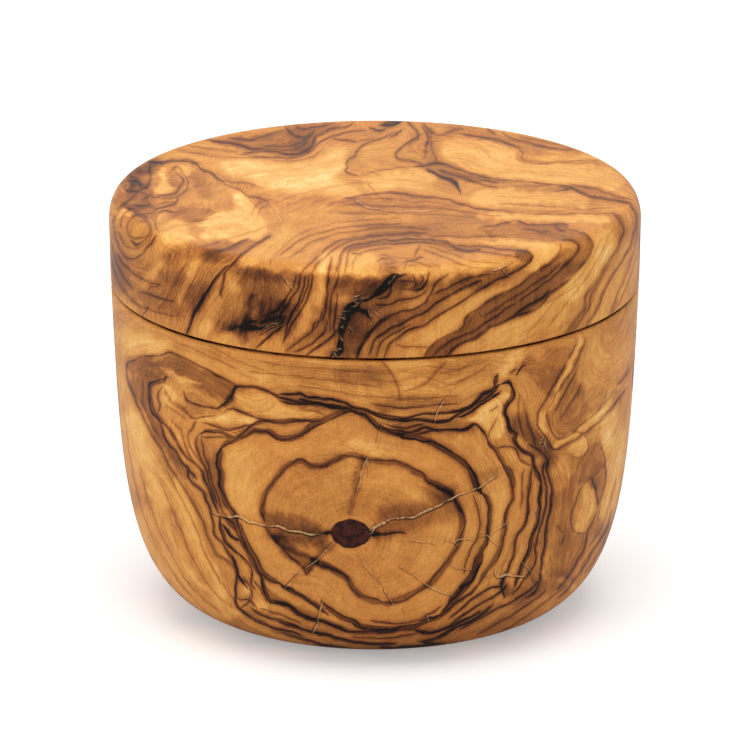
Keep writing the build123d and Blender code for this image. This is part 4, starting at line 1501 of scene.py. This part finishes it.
def dress(piece, veins, patches, fields, cracks, guides, knots, shown):
    mesh = piece.data
    count = len(mesh.vertices)
    places = vectors(mesh, "co")
    toEye = eye - places
    toEye /= np.linalg.norm(toEye, axis=1)[:, None]
    facing = (vectors(mesh, "normal") * toEye).sum(axis=1)
    seen = shown(places) & (facing > figure["facingStart"])
    spots = toPhoto(places)
    lookup = wobble(spots, figure["wobbleSize"], figure["wobbleLengths"])
    traced = np.where(seen, smoothStep(facing, figure["facingStart"], figure["facingFull"]), 0)
    rows = np.nonzero(seen)[0]

    def store(name, kind, values):
        attribute = mesh.attributes.new(name, kind, "POINT")
        slot = "vector" if kind == "FLOAT_VECTOR" else "value"
        attribute.data.foreach_set(slot, np.ascontiguousarray(values, np.float32).ravel())

    for kind, lines, channels in (("vein", veins, figure["channels"]), ("crack", cracks, 1)):
        for channel, (drawn, dark) in enumerate(drawVeins(lookup[rows], lines, channels)):
            table = np.full((count, 3), figure["farAway"])
            table[:, 2] = 0
            table[rows] = drawn
            strength = np.zeros(count)
            strength[rows] = dark ** figure["faintness"] * traced[rows]
            store(f"{kind}{channel}", "FLOAT_VECTOR", table)
            store(f"{kind}{channel}Strength", "FLOAT", strength)
    tone = np.zeros(count)
    strayed = wobble(spots[rows], figure["patchWobble"], figure["patchLengths"])
    kept = wobble(spots[rows], figure["fieldWobble"], figure["patchLengths"])
    tone[rows] = drawPatches(strayed, patches, kept, fields) * traced[rows]
    reach = np.hypot(places[:, 0], places[:, 1]) / mm
    # painted shade in the seam: the bowl's top edge and the lid's bottom edge are darkened where the gap
    # between them is in shade
    heights = places[:, 2] / mm
    if piece.name == "bowl_wood":
        rise, spread = shownPart["bowlSeamShade"]
        seamShade = smoothStep(heights, *rise) * smoothStep(reach, *spread)
    else:
        rise, spread = shownPart["lidSeamShade"]
        seamShade = (1 - smoothStep(heights, *rise)) * smoothStep(reach, *spread)
    store("tone", "FLOAT", tone - figure["paintedSeamShade"] * seamShade)
    store("traced", "FLOAT", traced)
    if piece.name == "bowl_wood":
        heart = np.full(count, -figure["farAway"])
        heart[rows] = inside(lookup[rows], bowlHeart["outline"])
        store("heart", "FLOAT", heart)
        away = spots - bowlHeart["middle"]
        far = np.maximum(np.hypot(away[:, 0], away[:, 1]), 1)
        rays = [away[:, 0] / far * bowlHeart["rayCount"], away[:, 1] / far * bowlHeart["rayCount"]]
        store("ray", "FLOAT_VECTOR", np.stack(rays + [far / bowlHeart["rayLength"]], axis=1))
        store("rayStrength", "FLOAT", traced * (1 - smoothStep(far, *bowlHeart["rayFade"])))

    anchors, levels = [], []
    lines = [(vein[3], vein[2]) for vein in veins if len(vein) > 3]
    for level, points in lines + guides:
        for point in points:
            nearest = rows[np.argmin(np.hypot(*(spots[rows] - point).T))]
            anchors.append(places[nearest] / mm)
            levels.append(level)
    knotPlaces, knotLevels = knotAnchors(knots, np.hypot(places[:, 0], places[:, 1]).max() / mm)
    anchors += knotPlaces
    levels += knotLevels
    level = growthField(places / mm, np.array(anchors), np.array(levels, float))
    store("level", "FLOAT", level)
    span = f"{level.min():.1f} to {level.max():.1f}"
    print(piece.name, "figure:", len(veins), "veins,", len(anchors), "anchors, levels", span)


# shaders

class Wire:
    # a shader socket that plain sums can be written with
    def __init__(self, shader, socket):
        self.shader = shader
        self.socket = socket

    def __add__(self, other):
        return self.shader.maths("ADD", self, other)

    __radd__ = __add__

    def __sub__(self, other):
        return self.shader.maths("SUBTRACT", self, other)

    def __rsub__(self, other):
        return self.shader.maths("SUBTRACT", other, self)

    def __mul__(self, other):
        return self.shader.maths("MULTIPLY", self, other)

    __rmul__ = __mul__

    def __abs__(self):
        return self.shader.maths("ABSOLUTE", self)


class Shader:
    # the nodes of a material or of the world
    def __init__(self, owner):
        self.owner = owner
        owner.use_nodes = True
        self.tree = owner.node_tree
        self.tree.nodes.clear()

    def node(self, kind, settings=None, inputs=None):
        made = self.tree.nodes.new("ShaderNode" + kind)
        for name, value in (settings or {}).items():
            if name == "stops":
                self.fillRamp(made.color_ramp, value)
            else:
                setattr(made, name, value)
        for name, value in (inputs or {}).items():
            if isinstance(value, Wire):
                self.tree.links.new(value.socket, made.inputs[name])
            else:
                made.inputs[name].default_value = value
        return made

    def fillRamp(self, ramp, stops):
        while len(ramp.elements) < len(stops):
            ramp.elements.new(1)
        for element, (place, colour) in zip(ramp.elements, stops):
            element.position = place
            element.color = colour

    def wire(self, made, output=0):
        return Wire(self, made.outputs[output])

    def maths(self, operation, *values):
        return self.wire(self.node("Math", {"operation": operation}, dict(enumerate(values))))

    def clamp(self, value):
        return self.wire(self.node("Clamp", None, {0: value}))

    def smooth(self, value, low, high):
        # from 0 at low to 1 at high, and the other way where low is the larger
        inputs = {0: value, 1: low, 2: high, 3: 0.0, 4: 1.0}
        return self.wire(self.node("MapRange", {"interpolation_type": "SMOOTHSTEP"}, inputs))

    def attribute(self, name, output="Fac"):
        settings = {"attribute_type": "GEOMETRY", "attribute_name": name}
        return self.wire(self.node("Attribute", settings), output)

    def parts(self, name):
        # the three numbers of a vector attribute
        made = self.node("SeparateXYZ", None, {0: self.attribute(name, "Vector")})
        return [self.wire(made, part) for part in ("X", "Y", "Z")]

    def place(self, size):
        # Object coordinates, a unit every so many millimetres
        where = self.wire(self.node("TexCoord"), "Object")
        inputs = {0: where, "Scale": 1 / (size * mm)}
        return self.wire(self.node("VectorMath", {"operation": "SCALE"}, inputs))

    def stretch(self, across, along):
        # Object coordinates drawn out upwards
        where = self.wire(self.node("TexCoord"), "Object")
        inputs = {0: where, 1: (1 / (across * mm), 1 / (across * mm), 1 / (along * mm))}
        return self.wire(self.node("VectorMath", {"operation": "MULTIPLY"}, inputs))

    def noise(self, place, drift, detail, rough, warp=0.0):
        settings = {"noise_dimensions": "3D" if drift is None else "4D"}
        inputs = {"Vector": place, "Scale": 1.0, "Detail": detail, "Roughness": rough, "Distortion": warp}
        if drift is not None:
            inputs["W"] = drift
        return self.wire(self.node("TexNoise", settings, inputs), "Fac")

    def blend(self, factor, first, second, mode="MIX"):
        made = self.node("Mix", {"data_type": "RGBA", "blend_type": mode}, {0: factor, 6: first, 7: second})
        return self.wire(made, 2)

    def ramp(self, value, stops):
        return self.wire(self.node("ValToRGB", {"stops": stops}, {0: value}), "Color")

    def finish(self, inputs, height, distance, strength):
        # the shader and the output, with a bump of that height
        bump = self.node("Bump", None, {"Height": height, "Distance": distance, "Strength": strength})
        principled = self.node("BsdfPrincipled", None, inputs | {"Normal": self.wire(bump, "Normal")})
        self.node("OutputMaterial", None, {"Surface": self.wire(principled)})
        return self.owner


def paint(red, green, blue):
    # a colour as a screen shows it, 0 to 255, as the light values that nodes take
    def light(value):
        share = value / 255
        return share / 12.92 if share <= 0.04045 else ((share + 0.055) / 1.055) ** 2.4

    return light(red), light(green), light(blue), 1.0


woodLook = {
    # streaks along the growth: (length in millimetres, growth levels across, detail, roughness, shift)
    "streaks": {
        "fibre": (7.0, 0.42, 3.0, 0.55, 0.0),
        "hair": (2.4, 0.16, 2.0, 0.55, 0.0),
        "depth": (11.0, 1.0, 2.0, 0.6, 3.7),
        "band": (26.0, 3.4, 2.0, 0.5, 0.0),
        "broad": (40.0, 11.0, 1.0, 0.5, 7.3),
        "fleck": (1.3, 0.11, 1.0, 0.5, 11.0),
        "pencil": (34.0, 1.7, 2.0, 0.5, 83.0),
        "backRings": (30.0, 9.0, 2.0, 0.5, 31.0),
        "backVeins": (22.0, 6.0, 2.0, 0.55, 57.0),
    },
    # clouds: (size in millimetres, detail, roughness)
    "clouds": {
        "mottle": (8.0, 3.0, 0.6),
        "blotch": (2.6, 3.0, 0.6),
        "edge": (1.5, 2.0, 0.6),
        "grit": (0.35, 1.0, 0.5),
        "drift": (6.0, 1.0, 0.55),
        "heavy": (18.0, 1.0, 0.55),
        "rust": (13.0, 2.0, 0.55),
        "pith": (1.1, 3.0, 0.7),
    },
    "upright": (0.32, 4.5),   # millimetres
    # how far each part moves the tone, everywhere and then more in the outer wood or at the back
    "shares": {
        "band": (0.16, 0.3),
        "broad": (0.06, 0.5),
        "fibre": (0.12, 0.07),
        "hair": (0.13, 0.14),
        "pencil": (0.02, 0.03),
        "mottle": 0.14,
        "blotch": 0.14,
        "grit": 0.15,
        "fleck": 0.09,
        "halo": 0.13,
        "crackShade": 0.08,
        # painted shadow: the dark line beside each crack
        "crackEdge": 0.22,
        "uprightBowl": 0.08,
        "uprightLid": 0.14,
        "rays": 0.15,
    },
    # a vein's and a crack's width: everywhere, by the mottle and by the blotch
    "veinWidth": (0.45, 0.5, 0.6),
    "crackWidth": (0.1, 0.6, 0.7),
    # pixels beyond a vein's or a crack's side at which it starts and is full
    "veinGate": (3.0, 1.9),
    "veinHalo": (4.8, -1.0),
    "crackGate": (2.8, 1.8),
    "crackHalo": (3.2, -0.4),
    "veinEdge": (1.5, 0.7, 0.6),  # pixels outside, how much less where it is dark, and inside
    "veinCore": (0.56, 0.54),     # strength at a vein's side, and more in its middle
    # pixels beyond a crack's side where its painted shadow line runs
    "crackSway": (1.4, 0.9),      # pixels that the edge and the grit move a crack
    "crackShadowOffset": 0.9,
    # values of the noise between which each of these starts and is full
    "fleckFrom": (0.66, 0.76),
    "heavyFrom": (0.38, 0.6),
    "rustFrom": (0.42, 0.66),
    "rustTone": (0.9, 0.6),
    "crackGrit": (0.34, 0.48),
    "crackBlotch": (0.3, 0.5),
    "pithFrom": (0.35, 0.65),
    # the darkness of a vein, and how far the depth, hair and grit change it
    "inkDepth": 0.46,
    "inkChanges": (0.36, 0.16, 0.2),
    "raggedness": (1.5, 1.1),  # pixels that the edge and the fibre move a vein's side
    "veinWander": 4.5,        # how far its darkest line wanders from side to side
    # lines at the back: (value of the noise, raggedness, half width, sharp half width)
    "backLineOne": (0.5, 0.008, 0.030, 0.006),
    "backLineTwo": (0.47, 0.008, 0.020, 0.004),
    "backLineThree": (0.44, 0.006, 0.014, 0.003),
    "baseTone": 0.605,
    "coarseFrom": (18, 36),
    "roughness": 0.45,
    "roughChanges": (0.12, 0.1, 0.05),     # by the fibre, the mottle and the veins
    "bumps": (0.5, 0.5, 0.4, 1.2),         # of the fibre, the hair, the veins and the cracks
    "specular": 0.1,
    "bumpHeight": 0.00004,
    "bumpStrength": 0.8,
    "tones": (
        (0.00, (15, 7, 4)),
        (0.12, (52, 26, 15)),
        (0.28, (106, 60, 31)),
        (0.44, (158, 97, 46)),
        (0.60, (206, 138, 67)),
        (0.76, (235, 176, 93)),
        (0.90, (251, 217, 148)),
        (1.00, (254, 236, 184)),
    ),
    "rust": (1.0, 0.86, 0.80, 1.0),
    "rustShare": 0.4,
    "pith": (74, 34, 24),
    "pithDark": (30, 13, 11),
    "crack": (226, 182, 126),
    "crackShare": 0.85,
}


def oliveWood(name, hasHeart):
    look = woodLook
    share = look["shares"]
    wood = Shader(bpy.data.materials.new(name))
    level = wood.attribute("level")
    wild = 1.0 - wood.attribute("traced")

    def along(kind):
        # noise in streaks that follow the growth levels
        length, width, detail, rough, shift = look["streaks"][kind]
        return wood.noise(wood.place(length), level * (1 / width) + shift, detail, rough)

    def cloud(kind):
        size, detail, rough = look["clouds"][kind]
        return wood.noise(wood.place(size), None, detail, rough)

    def widthOf(kind):
        plain, byMottle, byBlotch = look[kind]
        return plain + mottle * byMottle + blotch * byBlotch

    def near(plain, half, kind):
        start, full = look[kind]
        return wood.smooth(plain, half + start, half + full)

    def most(first, second):
        return wood.maths("MAXIMUM", first, second)

    fibre, hair, depth, band, broad = (along(kind) for kind in ("fibre", "hair", "depth", "band", "broad"))
    mottle, blotch, edge, grit = (cloud(kind) for kind in ("mottle", "blotch", "edge", "grit"))
    fleck = wood.smooth(along("fleck"), *look["fleckFrom"])
    upright = wood.noise(wood.stretch(*look["upright"]), None, 1.0, 0.5)

    # the veins that were read off the photo, in channels so that neighbours don't cut each other short
    ragged = (edge - 0.5) * look["raggedness"][0] + (fibre - 0.5) * look["raggedness"][1]
    thick = widthOf("veinWidth")
    outside, lessWhereDark, inward = look["veinEdge"]
    sideStrength, coreStrength = look["veinCore"]
    drift = (cloud("drift") - 0.5) * look["veinWander"]
    masks = []
    halos = []
    for channel in range(figure["channels"]):
        side, plain, half = wood.parts(f"vein{channel}")
        strength = wood.attribute(f"vein{channel}Strength")
        half = half * thick
        side = side + ragged * (0.75 + half * 0.25)
        body = wood.smooth(abs(side), half + outside - strength * lessWhereDark, half - inward)
        core = wood.smooth(abs(side + half * drift), half * 0.5 + 0.5, 0.0)
        gate = near(plain, half, "veinGate")
        masks.append(body * gate * strength * (sideStrength + core * coreStrength))
        halos.append(near(plain, half, "veinHalo") * strength)
    ink = reduce(most, masks)
    halo = reduce(most, halos)

    # the figure goes on round the back, where no vein was read
    rings = along("backRings")
    veins = along("backVeins")
    heavy = wood.smooth(cloud("heavy"), *look["heavyFrom"])

    def backLine(noise, middle, rough, wide, narrow):
        return wood.smooth(abs(noise - middle + (edge - 0.5) * rough), wide, narrow)

    lineOne = backLine(rings, *look["backLineOne"])
    lineTwo = backLine(veins, *look["backLineTwo"])
    lineThree = backLine(rings, *look["backLineThree"])
    backInk = most(lineOne * heavy, most(lineTwo * 0.6, lineThree * 0.7)) * wild
    backHalo = wood.smooth(abs(rings - 0.5), 0.09, 0.0) * heavy * wild
    ink = most(ink, backInk * 0.85)
    halo = most(halo, backHalo)

    side, plain, half = wood.parts("crack0")
    strength = wood.attribute("crack0Strength")
    half = half * widthOf("crackWidth")
    byEdge, byGrit = look["crackSway"]
    strayed = side + (edge - 0.5) * byEdge
    gate = near(plain, half, "crackGate") * strength
    crack = wood.smooth(abs(strayed + (grit - 0.5) * byGrit), half + 0.5, half - 0.5) * gate
    crack = crack * wood.smooth(grit, *look["crackGrit"]) * wood.smooth(blotch, *look["crackBlotch"])
    crackShade = near(plain, half, "crackHalo") * strength
    # painted shadow: a thin dark line along one side of each crack
    crackEdge = wood.smooth(abs(strayed - half - look["crackShadowOffset"]), 1.0, 0.0) * gate

    outer = wood.smooth(level, *look["coarseFrom"])
    pencil = wood.smooth(abs(along("pencil") - 0.5), 0.05, 0.0)

    def part(kind, beyond):
        return share[kind][0] + beyond * share[kind][1]

    tone = wood.attribute("tone") + look["baseTone"]
    tone = tone + (band - 0.5) * part("band", wild) + (broad - 0.5) * part("broad", wild)
    tone = tone + (fibre - 0.5) * part("fibre", outer) + (hair - 0.5) * part("hair", outer)
    tone = tone + (mottle - 0.5) * share["mottle"] + (blotch - 0.5) * share["blotch"]
    tone = tone + (grit - 0.5) * share["grit"] - fleck * share["fleck"] - halo * share["halo"]
    tone = tone - crackShade * share["crackShade"] - crackEdge * share["crackEdge"]
    tone = tone - pencil * part("pencil", outer)
    tone = tone + (upright - 0.5) * share["uprightBowl" if hasHeart else "uprightLid"]
    byDepth, byHair, byGrit = look["inkChanges"]
    dark = look["inkDepth"] + (depth - 0.5) * byDepth + (hair - 0.5) * byHair + (grit - 0.5) * byGrit
    tone = tone - ink * dark
    if hasHeart:
        rays = wood.noise(wood.attribute("ray", "Vector"), None, 3.0, 0.6)
        tone = tone + (rays - 0.5) * wood.attribute("rayStrength") * share["rays"]
    colour = wood.ramp(wood.clamp(tone), [(place, paint(*shade)) for place, shade in look["tones"]])
    rusty = wood.smooth(cloud("rust"), *look["rustFrom"]) * wood.smooth(tone, *look["rustTone"])
    colour = wood.blend(rusty * look["rustShare"], colour, look["rust"], "MULTIPLY")
    colour = wood.blend(crack * look["crackShare"], colour, paint(*look["crack"]))
    if hasHeart:
        pith = wood.smooth(wood.attribute("heart") + (edge - 0.5) * 2.0, -0.7, 0.7)
        ringed = wood.smooth(cloud("pith"), *look["pithFrom"])
        pithColour = wood.blend(ringed, paint(*look["pithDark"]), paint(*look["pith"]))
        colour = wood.blend(pith * (1.0 - crack), colour, pithColour)
    byFibre, byMottle, byInk = look["roughChanges"]
    rough = look["roughness"] + (fibre - 0.5) * byFibre + (mottle - 0.5) * byMottle - ink * byInk
    fibreHigh, hairHigh, inkLow, crackLow = look["bumps"]
    height = fibre * fibreHigh + hair * hairHigh - ink * inkLow - crack * crackLow
    surface = {"Base Color": colour, "Roughness": rough, "Specular IOR Level": look["specular"]}
    return wood.finish(surface, height, look["bumpHeight"], look["bumpStrength"])


fittingLook = {
    "pin_steel": {"colour": (196, 198, 202), "dull": (150, 152, 158), "metal": 1.0, "roughness": 0.28},
    "bushing_brass": {"colour": (214, 172, 92), "dull": (160, 118, 56), "metal": 1.0, "roughness": 0.3},
    "magnet_nickel": {"colour": (206, 205, 200), "dull": (150, 148, 144), "metal": 1.0, "roughness": 0.22},
    "washer_nylon": {"colour": (232, 228, 216), "dull": (206, 200, 184), "metal": 0.0, "roughness": 0.5},
    "ring_rubber": {"colour": (30, 30, 31), "dull": (48, 47, 46), "metal": 0.0, "roughness": 0.62},
}
wearLook = {
    # noise: (size in millimetres, detail, roughness, warp)
    "cloud": (1.6, 3.0, 0.6, 0.0),
    "scratch": (0.25, 4.0, 0.7, 1.5),
    "shares": (0.6, 0.4),
    "wear": (0.42, 0.62),
    "dullRoughness": 0.18,
    "scratchRoughness": 0.1,
    "bumpHeight": 0.00002,
    "bumpStrength": 0.5,
}


def fittingFinish(name, look):
    finish = Shader(bpy.data.materials.new(name))
    noises = []
    for size, *settings in (wearLook["cloud"], wearLook["scratch"]):
        noises.append(finish.noise(finish.place(size), None, *settings))
    cloud, scratch = noises
    cloudShare, scratchShare = wearLook["shares"]
    wear = finish.smooth(cloud * cloudShare + scratch * scratchShare, *wearLook["wear"])
    colour = finish.blend(wear, paint(*look["dull"]), paint(*look["colour"]))
    rough = look["roughness"] + (1.0 - wear) * wearLook["dullRoughness"]
    rough = rough + (scratch - 0.5) * wearLook["scratchRoughness"]
    surface = {"Base Color": colour, "Roughness": rough, "Metallic": look["metal"]}
    return finish.finish(surface, scratch, wearLook["bumpHeight"], wearLook["bumpStrength"])


# floor and light

studio = {
    "floorSize": 6.0,
    "floorShade": 0.84,
    "floorLift": 0.32,
    "skyStrength": 0.64,
    "softbox": {"place": (0, -0.12, 1.1), "size": 0.9, "power": 7.3},
    "fill": {"place": (-0.9, -1.0, 0.7), "size": 1.2, "power": 3.4},
    "aimHeight": 0.04,
}


def makeFloor():
    shape = bmesh.new()
    bmesh.ops.create_grid(shape, x_segments=1, y_segments=1, size=studio["floorSize"] / 2)
    mesh = bpy.data.meshes.new("floor")
    shape.to_mesh(mesh)
    shape.free()
    floor = bpy.data.objects.new("floor", mesh)
    bpy.context.scene.collection.objects.link(floor)
    paper = Shader(bpy.data.materials.new("floor_paper"))
    ray = paper.wire(paper.node("LightPath"), "Is Camera Ray")
    shade = studio["floorShade"]
    diffuse = paper.node("BsdfDiffuse", None, {"Color": (shade, shade, shade, 1)})
    lift = paper.node("Emission", None, {"Color": (1, 1, 1, 1), "Strength": ray * studio["floorLift"]})
    both = paper.node("AddShader", None, {0: paper.wire(diffuse), 1: paper.wire(lift)})
    paper.node("OutputMaterial", None, {"Surface": paper.wire(both)})
    mesh.materials.append(paper.owner)


def makeWorld():
    world = bpy.data.worlds.new("studio")
    bpy.context.scene.world = world
    sky = Shader(world)
    path = sky.node("LightPath")
    seen = sky.maths("MAXIMUM", sky.wire(path, "Is Camera Ray"), sky.wire(path, "Is Glossy Ray"))
    seen = sky.maths("MAXIMUM", seen, sky.wire(path, "Is Transmission Ray"))
    inputs = {"Value": seen, "To Min": studio["skyStrength"], "To Max": 1.0}
    strength = sky.wire(sky.node("MapRange", None, inputs))
    light = sky.node("Background", None, {"Color": (1, 1, 1, 1), "Strength": strength})
    sky.node("OutputWorld", None, {"Surface": sky.wire(light)})


def makeSoftbox(name):
    look = studio[name]
    lamp = bpy.data.lights.new(name, "AREA")
    lamp.shape = "SQUARE"
    lamp.size = look["size"]
    lamp.energy = look["power"]
    box = bpy.data.objects.new(name, lamp)
    box.location = look["place"]
    aim = Vector((0, 0, studio["aimHeight"])) - Vector(look["place"])
    box.rotation_euler = aim.to_track_quat("-Z", "Y").to_euler()
    bpy.context.scene.collection.objects.link(box)


# the object

makeCamera()
makeFloor()
makeWorld()
makeSoftbox("softbox")
makeSoftbox("fill")
print("camera, floor and lights are set")


def spotOf(low, high):
    return (low.x + high.x) / 2, (low.y + high.y) / 2


def radiusOf(low, high, gap):
    return (high.x - low.x) / 2 + gap * mm


pinSpot = spotOf(pinLowest, pinHighest)
magnetSpot = spotOf(magnetLowest, magnetHighest)
pinRadius = radiusOf(pinLowest, pinHighest, fitting["pinGap"])
washerRadius = radiusOf(washerLowest, washerHighest, fitting["washerGap"])
magnetRadius = radiusOf(magnetLowest, magnetHighest, fitting["magnetGap"])
rimTop = highest.z
above = rimTop + fitting["cutterRise"] * mm

bowlWood = turn("bowl_wood", bowlOutline(bowlShape))
cutHoles(bowlWood, [
    (pinSpot, above, [(washerRadius, washerLowest.z), (pinRadius, pinLowest.z)]),
    (magnetSpot, above, [(magnetRadius, magnetLowest.z)]),
])
lidWood = turn("lid_wood", lidOutline(lidShape))
flangeRadius = radiusOf(flangeLowest, flangeHighest, fitting["pinGap"])
sleeveRadius = flangeRadius - fitting["flangeWidth"] * mm
below = lidLowest.z - fitting["cutterRise"] * mm
flangeTop = lidLowest.z + fitting["flangeThickness"] * mm
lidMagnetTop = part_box("lid_magnet")[1].z
cutHoles(lidWood, [
    (pinSpot, below, [(flangeRadius, flangeTop), (sleeveRadius, flangeHighest.z)]),
    (magnetSpot, below, [(magnetRadius, lidMagnetTop)]),
])


def bowlShown(places):
    # the outside, and neither the rim nor the well
    belowRim = places[:, 2] < rimTop - shownPart["seamRoom"] * mm
    outside = np.hypot(places[:, 0], places[:, 1]) > shownPart["wellRadius"] * mm
    return belowRim & outside | (places[:, 2] < shownPart["belowWell"] * mm)


def lidShown(places):
    return places[:, 2] > lidLowest.z + shownPart["seamRoom"] * mm


dress(bowlWood, bowlVeins, bowlPatches, bowlFields, bowlCracks, bowlGuides, bowlKnots, bowlShown)
dress(lidWood, lidVeins, lidPatches, lidFields, lidCracks, lidGuides, lidKnots, lidShown)
for piece, node, body, slotName, olive in (
    (bowlWood, "bowl", "bowl_side", "bowl_wood", oliveWood("bowl_olive", True)),
    (lidWood, "lid", "lid_side", "lid_wood", oliveWood("lid_olive", False)),
):
    piece.data.materials.clear()
    piece.data.materials.append(olive)
    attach(piece, body)
    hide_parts(node)
print("wood is turned and dressed")

fittings = {
    "pivot_pin": "pin_steel",
    "lid_bushing": "bushing_brass",
    "bowl_magnet": "magnet_nickel",
    "lid_magnet": "magnet_nickel",
    "spacer_washer": "washer_nylon",
    "retaining_ring": "ring_rubber",
}
finishes = {name: fittingFinish(name, look) for name, look in fittingLook.items()}
for node, finish in fittings.items():
    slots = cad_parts[node].data.materials
    slots.clear()
    slots.append(finishes[finish])
print("fittings are finished")

bpy.context.scene.view_settings.view_transform = "Standard"
